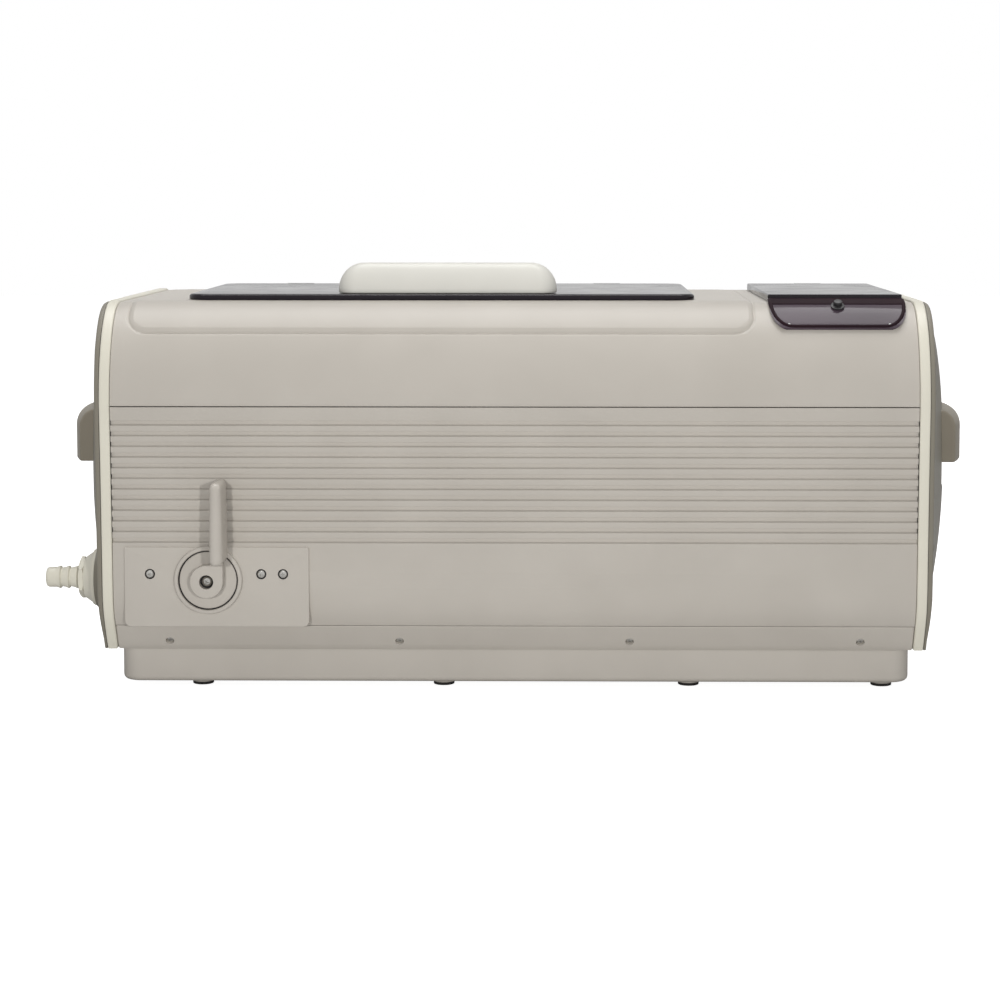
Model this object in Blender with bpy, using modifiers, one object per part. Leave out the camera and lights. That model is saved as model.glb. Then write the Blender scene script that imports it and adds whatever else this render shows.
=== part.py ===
"""Bench-top ultrasonic cleaner: long tank, hinged tank lid and panel cover, drain valve.

X runs along the body, Y from front to back and Z up. Every size below is in millimetres,
measured from the middle of the body (X, Y) and from the underside of the feet (Z); meshes
are made in metres. A depth is measured back from the front plane of the body.
"""

import math

import bmesh
import bpy
from mathutils import Matrix, Vector

MM = 0.001
GAP = 0.3                   # clearance between pieces that touch or nest
WELD = 0.00001              # metres

# ------------------------------------------------------------------ body
BODY_DEPTH = 290.0
BODY_HALF_Y = BODY_DEPTH / 2
PANEL_HALF_X = 267.3        # panels and shells end here, the end trims start GAP further out
WALL = 2.5
CENTRE = (3.0, 13.5)        # the body's middle, seen from the middle of everything

FOOT_HEIGHT = 4.5
PLINTH_TOP = 27.3
LOWER_SEAM = 44.7
UPPER_SEAM = 193.0
DECK_Z = 260.6
SHOULDER = (46.0, DECK_Z - UPPER_SEAM)      # semi-axes of the curve from panel to deck
SIDE_PROFILE = (            # (height, depth) of the front face below the shoulder
    (PLINTH_TOP, 22.0), (LOWER_SEAM, 12.0), (54.0, 7.5), (65.0, 5.2),
    (100.0, 4.0), (150.0, 2.4), (UPPER_SEAM, 0.0),
)
SHOULDER_STEPS = 8

GROOVES = 12
GROOVE_TOP = 183.6          # upper edge of the highest groove
GROOVE_PITCH = 7.15
GROOVE_WIDTH = 3.0
GROOVE_DEPTH = 1.2

PLINTH_HALF = (266.3, BODY_HALF_Y - 24.0)
PLINTH_CORNER = 13.0
FEET_X = (-213.0, -48.5, 118.0, 249.0)
FEET_Y = BODY_HALF_Y - 42.0
FOOT_RADIUS = 7.0

# ------------------------------------------------------------------ ends
TRIM_WIDTH = 7.0
TRIM_PROUD = 1.0
TRIM_WALL = 5.0
CAP_START = PANEL_HALF_X + GAP + TRIM_WIDTH + GAP
CAP_RIM = 3.0               # straight rim of the domed cap
CAP_BULGE = 24.5            # dome over the rim
CAP_CENTRE_Z = 140.0
CAP_HALF_Z = 125.0
CAP_SCALES = (0.97, 0.88, 0.7, 0.45, 0.15)
CAP_LONGEST_EDGE = 45.0

GRIP_HALF_Y = 55.0
GRIP_OUTER_X = 315.0        # at the middle of the bowed pull
GRIP_BOW = 10.0             # how far its ends stand back from that
GRIP_TOP, GRIP_LIP = 183.6, 142.6
GRIP_BOTTOM = 128.0
GRIP_BACK_X = 282.0
GRIP_WALL = 2.6

# ------------------------------------------------------------------ tank and lid
TANK_CENTRE = (-50.3, -4.5)
TANK_HALF = (161.0, 78.5)
TANK_CORNER = 14.0
TANK_WALL = 1.2
TANK_FLOOR = 111.0
PAD_X = (-257.5, 159.0)     # raised field of the deck around the lid
PAD_RISE = 1.0
PAD_FRONT_Z = 241.5
PAD_REAR = 228.0 - BODY_HALF_Y
PAD_TOP = DECK_Z + PAD_RISE

LID_HALF_X = 171.8
LID_Y = (43.0 - BODY_HALF_Y, 238.0 - BODY_HALF_Y)
LID_CORNER = 14.0
LID_BOTTOM = PAD_TOP + GAP
LID_TOP = 265.7
LID_PLATE = 1.9
HINGE_AXIS = (LID_Y[1] - 2.1, 263.8)        # (Y, Z) shared by the lid and the panel cover
HINGE_PIN_RADIUS = 0.9
HINGE_HALF_X = 10.0
LID_HINGES_X = (-165.0, 65.0)

HANDLE_HALF = (74.4, 13.0)
HANDLE_CENTRE = (-46.2, 61.0 - BODY_HALF_Y)
HANDLE_TOP = 286.4

# ------------------------------------------------------------------ control panel
COVER_X = (170.3, 261.0)
COVER_FRONT_Z = 243.0
COVER_BOTTOM = DECK_Z + GAP
PLATE_X = (181.0, 250.0)
PLATE_Y = (60.0 - BODY_HALF_Y, 224.0 - BODY_HALF_Y)
PLATE_TOP = DECK_Z - 1.4     # sunk, so that the buttons clear the closed cover
BUTTON_X = (PLATE_X[0] + PLATE_X[1]) / 2
BUTTONS_Y = (-20.0, 12.0, 44.0)
BUTTON_RADIUS = 6.0
DISPLAY_Y = -58.0

# ------------------------------------------------------------------ drain
VALVE = (-203.3, 77.2)      # (X, Z) of the valve's stem
VALVE_Y = 50.0 - BODY_HALF_Y
VALVE_PLATE_X = (-259.5, -136.3)
VALVE_PLATE_Z = (45.4, 99.0)
VALVE_PLATE_Y = 2.6 - BODY_HALF_Y
BEZEL_RADIUS = 22.7
DIAL_RADIUS = 19.5
HUB_RADIUS = 11.0
BALL_RADIUS = 8.0
STEM_RADIUS = 4.0
LEVER_FRONT = -28.0 - BODY_HALF_Y
LEVER_BLADE_X = (-198.5, -190.3)
LEVER_BLADE_Z = (91.6, 145.0)
SPIGOT = (50.0 - BODY_HALF_Y, 71.5)         # (Y, Z) of the outlet at the left end
SPIGOT_SEAT_X = 285.2
SPIGOT_TIP_X = 321.0
DRAIN = (-150.0, -59.0)     # (X, Y) of the hole in the tank's floor

# ------------------------------------------------------------------ rear
FAN = (195.0, 118.0)        # (X, Z)
FAN_HALF = 40.0
INLET = (95.0, 88.0)
SWITCH = (58.0, 88.0)
ROCKER_TILT = math.radians(7.0)             # off; on is the same tilt the other way
REAR_FACE = BODY_HALF_Y - 4.2               # rear panel's face at the inlet's height


# ================================================================== scene helpers
def clear_scene():
    for obj in list(bpy.data.objects):
        bpy.data.objects.remove(obj, do_unlink=True)


def make_collection(name):
    collection = bpy.data.collections.new(name)
    bpy.context.scene.collection.children.link(collection)
    return collection


def plastic(name, colour, roughness=0.45, metallic=0.0):
    """A Principled material of one colour (linear RGB)."""
    material = bpy.data.materials.new(name)
    material.use_nodes = True
    shader = material.node_tree.nodes["Principled BSDF"]
    shader.inputs["Base Color"].default_value = (*colour, 1.0)
    shader.inputs["Roughness"].default_value = roughness
    shader.inputs["Metallic"].default_value = metallic
    return material


def add_object(name, mesh, material=None):
    """Links a mesh as a piece, or as a cutter when it has no material."""
    obj = bpy.data.objects.new(name, mesh)
    obj.parent = ROOT
    if material is None:
        CUTTERS.objects.link(obj)
        obj.hide_render = True
        obj.display_type = "WIRE"
    else:
        PIECES.objects.link(obj)
        mesh.materials.append(material)
    return obj


def add_mesh(name, work, material, smooth_angle=None):
    """Turns a bmesh in millimetres into an object in metres."""
    bmesh.ops.recalc_face_normals(work, faces=work.faces)
    bmesh.ops.scale(work, vec=Vector((MM, MM, MM)), verts=work.verts)
    mesh = bpy.data.meshes.new(name)
    work.to_mesh(mesh)
    work.free()
    if smooth_angle is not None:
        mesh.shade_smooth()
        mesh.set_sharp_from_angle(angle=math.radians(smooth_angle))
    return add_object(name, mesh, material)


def boolean(obj, other, operation):
    modifier = obj.modifiers.new(f"{operation.lower()}_{other.name}", "BOOLEAN")
    modifier.object = other
    modifier.operation = operation
    modifier.solver = "EXACT"


def cut(obj, cutter):
    boolean(obj, cutter, "DIFFERENCE")


def join(obj, other):
    boolean(obj, other, "UNION")


def set_pivot(obj, pivot):
    """Moves the origin of an unrotated piece to a point on its joint's axis."""
    place = Vector(pivot) * MM
    obj.data.transform(Matrix.Translation(-place))
    obj.location = place


# ================================================================== shape helpers
AXES = {                    # local x, y and z of a flat outline, in the world
    "X": Matrix(((0, 0, 1), (1, 0, 0), (0, 1, 0))).to_4x4(),
    "Y": Matrix(((1, 0, 0), (0, 0, -1), (0, 1, 0))).to_4x4(),
    "Z": Matrix.Identity(4),
}


def extruded(name, outlines, span, axis, material=None):
    """A flat outline with holes, run along an axis.

    Outlines are in (Y, Z) for axis X, in (X, Z) for axis Y and in (X, Y) for axis Z.
    """
    curve = bpy.data.curves.new(name, "CURVE")
    curve.dimensions = "2D"
    curve.fill_mode = "BOTH"
    curve.extrude = abs(span[1] - span[0]) / 2 * MM
    for outline in outlines:
        spline = curve.splines.new("POLY")
        spline.points.add(len(outline) - 1)
        spline.use_cyclic_u = True
        for point, (a, b) in zip(spline.points, outline):
            point.co = (a * MM, b * MM, 0.0, 1.0)
    guide = bpy.data.objects.new(name + "_outline", curve)
    CUTTERS.objects.link(guide)
    middle = {"X": (1, 0, 0), "Y": (0, 1, 0), "Z": (0, 0, 1)}[axis]
    place = Matrix.Translation(Vector(middle) * (span[0] + span[1]) / 2 * MM) @ AXES[axis]
    mesh = solid_from_curve(guide, name)
    mesh.transform(place)
    return add_object(name, mesh, material)


def solid_from_curve(guide, name):
    """The curve's mesh with its caps welded on; the curve itself is removed."""
    graph = bpy.context.evaluated_depsgraph_get()
    mesh = bpy.data.meshes.new_from_object(guide.evaluated_get(graph))
    mesh.name = name
    work = bmesh.new()
    work.from_mesh(mesh)
    bmesh.ops.remove_doubles(work, verts=work.verts, dist=WELD)
    bmesh.ops.recalc_face_normals(work, faces=work.faces)
    work.to_mesh(mesh)
    work.free()
    bpy.data.objects.remove(guide, do_unlink=True)
    return mesh


def turned(name, profile, place, direction, material=None, segments=24):
    """A profile of (radius, height) pairs, outer side from top to bottom, turned about an axis."""
    mesh = bpy.data.meshes.new(name)
    points = [(radius * MM, 0.0, height * MM) for radius, height in profile]
    edges = [(i, i + 1) for i in range(len(points) - 1)]
    if profile[0][0] > 0.0:
        edges.append((len(points) - 1, 0))      # a ring's profile is closed
    mesh.from_pydata(points, edges, [])
    obj = add_object(name, mesh, material)
    obj.location = Vector(place) * MM
    obj.rotation_euler = Vector((0, 0, 1)).rotation_difference(Vector(direction)).to_euler()
    screw = obj.modifiers.new("turn", "SCREW")
    screw.steps = screw.render_steps = segments
    screw.use_merge_vertices = True
    screw.merge_threshold = WELD
    return obj


def cylinder(name, radius, ends, place, direction, material=None, segments=24):
    """ends are the two heights along the direction, highest first."""
    profile = [(0.0, ends[0]), (radius, ends[0]), (radius, ends[1]), (0.0, ends[1])]
    return turned(name, profile, place, direction, material, segments)


def block(name, low, high, material=None):
    return blocks(name, [(low, high)], material)


def blocks(name, boxes, material=None):
    """Boxes given by their lowest and highest corners; several of them only make a cutter."""
    work = bmesh.new()
    for low, high in boxes:
        made = bmesh.ops.create_cube(work, size=1.0)["verts"]
        bmesh.ops.scale(work, vec=Vector(high) - Vector(low), verts=made)
        bmesh.ops.translate(work, vec=(Vector(high) + Vector(low)) / 2, verts=made)
    return add_mesh(name, work, material)


def circle(centre, radius, count=24, start=0.0):
    return [(centre[0] + radius * math.cos(start + 2 * math.pi * i / count),
             centre[1] + radius * math.sin(start + 2 * math.pi * i / count)) for i in range(count)]


def rounded_rectangle(centre, half, radius, corner_steps=4):
    """Outline of a rectangle with rounded corners, anticlockwise from its +X side."""
    outline = []
    for quarter, (sx, sy) in enumerate(((1, 1), (-1, 1), (-1, -1), (1, -1))):
        for step in range(corner_steps + 1):
            angle = math.radians(90.0) * (quarter + step / corner_steps)
            outline.append((centre[0] + sx * (half[0] - radius) + radius * math.cos(angle),
                            centre[1] + sy * (half[1] - radius) + radius * math.sin(angle)))
    return outline


def bridge(work, sections):
    """Faces between neighbouring closed sections of the same number of points."""
    for first, second in zip(sections, sections[1:]):
        for i in range(len(first)):
            j = (i + 1) % len(first)
            work.faces.new((first[i], first[j], second[j], second[i]))


def loft(name, centre, rings, material=None, corner_steps=4, smooth_angle=None):
    """A body through rounded rectangles (half X, half Y, corner radius, Z), closed at both ends.

    Rings that run up the outside and back down the inside make a tray.
    """
    work = bmesh.new()
    sections = []
    for half_x, half_y, radius, z in rings:
        outline = rounded_rectangle(centre, (half_x, half_y), radius, corner_steps)
        sections.append([work.verts.new((x, y, z)) for x, y in outline])
    bridge(work, sections)
    work.faces.new(sections[0])
    work.faces.new(sections[-1])
    return add_mesh(name, work, material, smooth_angle)


def hose(name, points, radius, wall, material):
    """An open tube along a smooth curve."""
    curve = bpy.data.curves.new(name, "CURVE")
    curve.dimensions = "3D"
    curve.bevel_depth = radius * MM
    curve.bevel_resolution = 2
    curve.resolution_u = 3
    spline = curve.splines.new("BEZIER")
    spline.bezier_points.add(len(points) - 1)
    for knot, point in zip(spline.bezier_points, points):
        knot.co = Vector(point) * MM
        knot.handle_left_type = knot.handle_right_type = "AUTO"
    guide = bpy.data.objects.new(name + "_path", curve)
    CUTTERS.objects.link(guide)
    obj = add_object(name, solid_from_curve(guide, name), material)
    skin = obj.modifiers.new("wall", "SOLIDIFY")
    skin.thickness = wall * MM
    skin.offset = -1.0
    return obj


# ================================================================== body outline
def side_depth(height):
    """Depth of the front face at a height below the shoulder."""
    for (z0, d0), (z1, d1) in zip(SIDE_PROFILE, SIDE_PROFILE[1:]):
        if height <= z1:
            return d0 + (d1 - d0) * (height - z0) / (z1 - z0)
    return SIDE_PROFILE[-1][1]


def side_points(low, high, inset=0.0):
    """(Y, Z) points up the front face below the shoulder, set inwards by inset."""
    heights = [low] + [z for z, _ in SIDE_PROFILE if low < z < high] + [high]
    return [(side_depth(z) + inset - BODY_HALF_Y, z) for z in heights]


def shoulder_angle(height):
    return math.asin((height - UPPER_SEAM) / SHOULDER[1])


def shoulder_points(low_angle, inset=0.0, steps=SHOULDER_STEPS):
    """(Y, Z) points along the shoulder, from an angle up to the deck."""
    points = []
    for step in range(steps + 1):
        angle = low_angle + (math.pi / 2 - low_angle) * step / steps
        points.append((SHOULDER[0] - BODY_HALF_Y - (SHOULDER[0] - inset) * math.cos(angle),
                       UPPER_SEAM + (SHOULDER[1] - inset) * math.sin(angle)))
    return points


def mirrored(points):
    """The same points on the rear face, in running order after the front ones."""
    return [(-y, z) for y, z in reversed(points)]


def divided(outline, longest):
    """The same outline with extra points on its long edges."""
    points = []
    for (y0, z0), (y1, z1) in zip(outline, outline[1:] + outline[:1]):
        parts = math.ceil(math.hypot(y1 - y0, z1 - z0) / longest)
        points += [(y0 + (y1 - y0) * i / parts, z0 + (z1 - z0) * i / parts) for i in range(parts)]
    return points


def body_section(inset, low):
    """The whole closed outline of the body from the side."""
    front = side_points(low, UPPER_SEAM, inset) + shoulder_points(0.0, inset)[1:]
    return front + mirrored(front)


# ================================================================== casing
def make_upper_shell():
    start = shoulder_angle(UPPER_SEAM + GAP)
    outer = shoulder_points(start)
    inner = shoulder_points(start, WALL)
    section = outer + mirrored(outer) + [(-y, z) for y, z in inner] + list(reversed(inner))
    shell = extruded("upper_shell", [section], (-PANEL_HALF_X, PANEL_HALF_X), "X", GREY)

    pad_start = shoulder_angle(PAD_FRONT_Z)
    over = shoulder_points(pad_start, -PAD_RISE, 6)
    under = shoulder_points(pad_start, WALL / 2, 6)
    pad = over + [(PAD_REAR, over[-1][1]), (PAD_REAR, under[-1][1])] + list(reversed(under))
    join(shell, extruded("raised_pad", [pad], PAD_X, "X"))

    opening = (TANK_HALF[0] + TANK_WALL + 1.0, TANK_HALF[1] + TANK_WALL + 1.0, TANK_CORNER)
    cut(shell, loft("tank_opening", TANK_CENTRE, [(*opening, 250.0), (*opening, 270.0)]))
    cut(shell, block("panel_opening", (PLATE_X[0], PLATE_Y[0], 250.0),
                     (PLATE_X[1], PLATE_Y[1], 270.0)))


def make_front_panel():
    """Twelve grooves above a plain field; plain inside."""
    outer = side_points(LOWER_SEAM + GAP, GROOVE_TOP - GROOVE_PITCH * GROOVES + 2.0)
    for number in reversed(range(GROOVES)):
        top = GROOVE_TOP - GROOVE_PITCH * number
        low = top - GROOVE_WIDTH
        face = side_depth(top) - BODY_HALF_Y
        floor = face + GROOVE_DEPTH
        outer += [(face, low - 0.4), (floor, low + 0.6), (floor, top), (face, top)]
    outer.append((side_depth(UPPER_SEAM - GAP) - BODY_HALF_Y, UPPER_SEAM - GAP))
    inner = side_points(LOWER_SEAM + GAP, UPPER_SEAM - GAP, WALL + GROOVE_DEPTH)
    panel = extruded("front_panel", [outer + list(reversed(inner))],
                     (-PANEL_HALF_X, PANEL_HALF_X), "X", GREY)
    cut(panel, cylinder("stem_hole", 5.0, (20.0, -30.0), (VALVE[0], -BODY_HALF_Y, VALVE[1]),
                        (0, -1, 0)))


def make_rear_panel():
    """Plain panel with vents, a fan grille and holes for the inlet and the switch."""
    outer = side_points(LOWER_SEAM + GAP, UPPER_SEAM - GAP)
    inner = side_points(LOWER_SEAM + GAP, UPPER_SEAM - GAP, WALL)
    section = [(-y, z) for y, z in outer + list(reversed(inner))]
    panel = extruded("rear_panel", [section], (-PANEL_HALF_X, PANEL_HALF_X), "X", GREY)
    slots = []
    for index in range(-5, 6):
        half = math.sqrt(34.0 ** 2 - (index * 6.0) ** 2)
        slots.append((FAN[0] + index * 6.0, FAN[1] - half, FAN[1] + half))
    slots += [(-215.0 + index * 9.0, 120.0, 160.0) for index in range(12)]
    boxes = [((x - 1.6, 120.0, low), (x + 1.6, 160.0, high)) for x, low, high in slots]
    boxes.append(((INLET[0] - 14.0, 120.0, INLET[1] - 10.5), (INLET[0] + 14.0, 160.0, INLET[1] + 10.5)))
    boxes.append(((SWITCH[0] - 7.2, 120.0, SWITCH[1] - 10.5), (SWITCH[0] + 7.2, 160.0, SWITCH[1] + 10.5)))
    cut(panel, blocks("rear_openings", boxes))


def make_base_tray():
    """Flared band on a plinth with rounded corners, open on top."""
    band_top = (PANEL_HALF_X, BODY_HALF_Y - side_depth(LOWER_SEAM))
    band_low = (PANEL_HALF_X, BODY_HALF_Y - side_depth(PLINTH_TOP))
    plinth_x, plinth_y = PLINTH_HALF
    rings = [
        (plinth_x, plinth_y, PLINTH_CORNER, FOOT_HEIGHT),
        (plinth_x, plinth_y, PLINTH_CORNER, PLINTH_TOP),
        (*band_low, 1.2, PLINTH_TOP),
        (*band_top, 1.2, LOWER_SEAM),
        (band_top[0] - WALL, band_top[1] - WALL, 0.6, LOWER_SEAM),
        (band_low[0] - WALL, band_low[1] - WALL, 0.6, PLINTH_TOP + WALL),
        (plinth_x - WALL, plinth_y - WALL, PLINTH_CORNER - WALL, PLINTH_TOP + WALL),
        (plinth_x - WALL, plinth_y - WALL, PLINTH_CORNER - WALL, FOOT_HEIGHT + WALL),
    ]
    tray = loft("base_tray", (0, 0), rings, GREY)
    for number, (x, y) in enumerate(((156.0, -62.0), (236.0, -62.0), (156.0, 62.0), (236.0, 62.0))):
        join(tray, cylinder(f"board_post_{number}", 4.0, (15.0, 5.5), (x, y, 0), (0, 0, 1), segments=12))


def make_feet():
    profile = [(0, FOOT_HEIGHT - GAP), (FOOT_RADIUS + 1.5, FOOT_HEIGHT - GAP), (FOOT_RADIUS, 2.2),
               (FOOT_RADIUS, 0.0), (0, 0.0)]
    for side, y in (("front", -FEET_Y), ("rear", FEET_Y)):
        for number, x in enumerate(FEET_X, 1):
            turned(f"foot_{side}_{number}", profile, (x, y, 0), (0, 0, 1), RUBBER, 14)


def make_end_trim(name, side):
    """Frame around the end of the body."""
    outer = body_section(-TRIM_PROUD, PLINTH_TOP)
    inner = body_section(TRIM_WALL - TRIM_PROUD, PLINTH_TOP + TRIM_WALL)
    start = PANEL_HALF_X + GAP
    extruded(name, [outer, inner], (side * start, side * (start + TRIM_WIDTH)), "X", CREAM)


def cap_reach(y, z):
    """How far the domed end cap stands out over its edge at a point."""
    along = math.sin(math.pi / 2 * (1 - min(abs(y) / BODY_HALF_Y, 1.0))) ** 1.6
    height = min(abs(z - CAP_CENTRE_Z) / CAP_HALF_Z, 1.0)
    return CAP_RIM + CAP_BULGE * along * (1 - height ** 2.4) ** (1 / 2.4)


def make_end_cap(name, side, has_outlet):
    """Domed shell, open towards the body, with a window for the carry handle."""
    work = bmesh.new()
    middle_z = (PLINTH_TOP + DECK_Z) / 2
    edge = divided(body_section(0.0, PLINTH_TOP), CAP_LONGEST_EDGE)
    half_z = (DECK_Z - PLINTH_TOP) / 2

    def section(scale, reach_share, inset):
        made = []
        for y, z in edge:
            y *= scale * (1 - inset / BODY_HALF_Y)
            z = middle_z + (z - middle_z) * scale * (1 - inset / half_z)
            reach = max(cap_reach(y, z) - inset, 0.0) * reach_share
            made.append(work.verts.new((side * (CAP_START + reach), y, z)))
        return made

    outer = [section(1.0, 0.0, 0.0), section(1.0, 1.0, 0.0)]
    outer += [section(scale, 1.0, 0.0) for scale in CAP_SCALES]
    inner = [section(1.0, 0.0, WALL)]
    inner += [section(scale, 1.0, WALL) for scale in CAP_SCALES]
    bridge(work, list(reversed(outer)) + inner)
    work.faces.new(outer[-1])
    work.faces.new(inner[-1])
    cap = add_mesh(name, work, BEIGE, 35)

    window = sorted((side * (GRIP_BACK_X - 5.0), side * (GRIP_OUTER_X + 5.0)))
    reach_y = GRIP_HALF_Y + GAP
    cut(cap, block(f"{name}_window", (window[0], -reach_y, GRIP_BOTTOM - GAP),
                   (window[1], reach_y, GRIP_TOP + GAP)))
    if has_outlet:
        seat = (side * SPIGOT_SEAT_X, *SPIGOT)
        cut(cap, cylinder("spigot_seat", 20.5, (30.0, 0.0), seat, (side, 0, 0)))
        cut(cap, cylinder("spigot_hole", 9.0, (30.0, -30.0), seat, (side, 0, 0)))


def bowed(name, shape, side, half_y, material=None):
    """Solid across the end cap whose front follows the dome; shape gives each end view from its bow."""
    work = bmesh.new()
    sections = []
    for step in range(9):
        y = half_y * (step - 4) / 4
        bow = GRIP_BOW * (y / GRIP_HALF_Y) ** 2
        sections.append([work.verts.new((side * x, y, z)) for x, z in shape(bow)])
    bridge(work, sections)
    work.faces.new(sections[0])
    work.faces.new(sections[-1])
    return add_mesh(name, work, material)


def make_carry_handle(name, side):
    """Cup pull with its finger pocket: a hood open downwards over a well in the cap."""
    arc = [math.radians(15.0 * step) for step in range(7)]

    def outline(bow):
        front = GRIP_OUTER_X - bow
        quarter = [(front - 12.0 + 12.0 * math.sin(a), GRIP_TOP - 13.0 + 13.0 * math.cos(a)) for a in arc]
        return ([(GRIP_BACK_X, GRIP_BOTTOM), (GRIP_BACK_X, GRIP_TOP)] + quarter
                + [(front, GRIP_LIP), (front - 12.5, GRIP_LIP), (front - 13.5, GRIP_BOTTOM)])

    def room(bow):
        front = GRIP_OUTER_X - bow
        hood = [(front - 12.0 + 9.4 * math.sin(a), GRIP_TOP - 13.0 + 10.4 * math.cos(a)) for a in arc]
        return ([(GRIP_BACK_X + GRIP_WALL, GRIP_BOTTOM + GRIP_WALL),
                 (GRIP_BACK_X + GRIP_WALL, GRIP_TOP - GRIP_WALL)] + hood
                + [(front - GRIP_WALL, GRIP_BOTTOM + GRIP_WALL)])

    grip = bowed(name, outline, side, GRIP_HALF_Y, BEIGE)
    cut(grip, bowed(f"{name}_room", room, side, GRIP_HALF_Y - GRIP_WALL))


# ================================================================== tank and lid
def make_tank():
    x, y = TANK_HALF
    out_x, out_y = x + TANK_WALL, y + TANK_WALL
    flange = PAD_TOP + 1.2
    rings = [
        (out_x - 9.0, out_y - 9.0, 12.0, TANK_FLOOR - TANK_WALL),
        (out_x - 2.4, out_y - 2.4, 13.0, TANK_FLOOR + 1.6),
        (out_x, out_y, TANK_CORNER, TANK_FLOOR + 8.0),
        (out_x, out_y, TANK_CORNER, flange),
        (out_x + 6.5, out_y + 6.5, 18.0, flange),
        (out_x + 6.5, out_y + 6.5, 18.0, flange + 0.7),
        (x, y, TANK_CORNER - 1.0, flange + 0.7),
        (x, y, TANK_CORNER - 1.0, TANK_FLOOR + 8.5),
        (x - 2.4, y - 2.4, 12.5, TANK_FLOOR + 2.8),
        (x - 9.0, y - 9.0, 11.0, TANK_FLOOR),
    ]
    tank = loft("tank", TANK_CENTRE, rings, STEEL, smooth_angle=35)
    cut(tank, cylinder("drain_hole", 8.3, (10.0, -10.0), (*DRAIN, TANK_FLOOR), (0, 0, 1)))

    reach = (out_x + 6.0, out_y + 6.0)
    gasket = [rounded_rectangle(TANK_CENTRE, reach, 17.5),
              rounded_rectangle(TANK_CENTRE, (out_x + 1.5, out_y + 1.5), 15.0)]
    extruded("tank_gasket", gasket, (PAD_TOP + GAP, flange - GAP), "Z", RUBBER)

    top, low = TANK_FLOOR + 2.2, TANK_FLOOR - TANK_WALL
    fitting = [(13.0, top - 0.6), (13.0, TANK_FLOOR + GAP), (8.0, TANK_FLOOR + GAP), (8.0, low - GAP),
               (12.0, low - GAP), (12.0, low - 5.0), (4.6, low - 5.0), (4.6, low - 10.0),
               (3.4, low - 10.0), (3.4, top - 1.4), (11.0, top)]
    turned("tank_drain_fitting", fitting, (*DRAIN, 0), (0, 0, 1), STEEL, 20)


def make_transducers():
    """Bonded sandwich transducers: radiating head, ceramic rings and steel back mass."""
    top = TANK_FLOOR - TANK_WALL - GAP
    profile = [(0, top), (22.5, top), (22.5, top - 4.0), (17.0, top - 22.0), (19.0, top - 22.5),
               (19.0, top - 33.0), (16.5, top - 33.5), (16.5, top - 52.0), (0, top - 52.0)]
    for number in range(4):
        turned(f"transducer_{number + 1}", profile, (-102.0 + 60.0 * number, TANK_CENTRE[1], 0),
               (0, 0, 1), ALUMINIUM, 16)
    wall = TANK_CENTRE[1] + TANK_HALF[1] + TANK_WALL + GAP
    block("heater_pad", (-170.0, wall, 130.0), (70.0, wall + 1.6, 215.0), RUBBER)


def hinge_bore(name, ends):
    middle = ((ends[0] + ends[1]) / 2, *HINGE_AXIS)
    half = (ends[1] - ends[0]) / 2
    return cylinder(name, HINGE_PIN_RADIUS + GAP, (half, -half), middle, (1, 0, 0), segments=12)


def hinge_notch(name, x):
    """Room in a lid's rear edge for a fixed knuckle."""
    reach = HINGE_HALF_X + GAP
    return block(name, (x - reach, HINGE_AXIS[0] - 2.9, 255.0), (x + reach, HINGE_AXIS[0] + 9.0, 275.0))


def make_hinge(name, x):
    """Fixed leaf on the deck with its knuckle around the pin."""
    y, z = HINGE_AXIS
    leaf = block(name, (x - HINGE_HALF_X, y - 0.5, DECK_Z + GAP), (x + HINGE_HALF_X, y + 10.0, z - 1.7),
                 STEEL)
    join(leaf, cylinder(f"{name}_knuckle", 2.1, (HINGE_HALF_X, -HINGE_HALF_X), (x, y, z), (1, 0, 0),
                        segments=16))
    cut(leaf, hinge_bore(f"{name}_bore", (x - 30.0, x + 30.0)))


def make_hinge_pin(name, ends):
    middle = ((ends[0] + ends[1]) / 2, *HINGE_AXIS)
    half = (ends[1] - ends[0]) / 2
    cylinder(name, HINGE_PIN_RADIUS, (half, -half), middle, (1, 0, 0), STEEL, 12)


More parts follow.
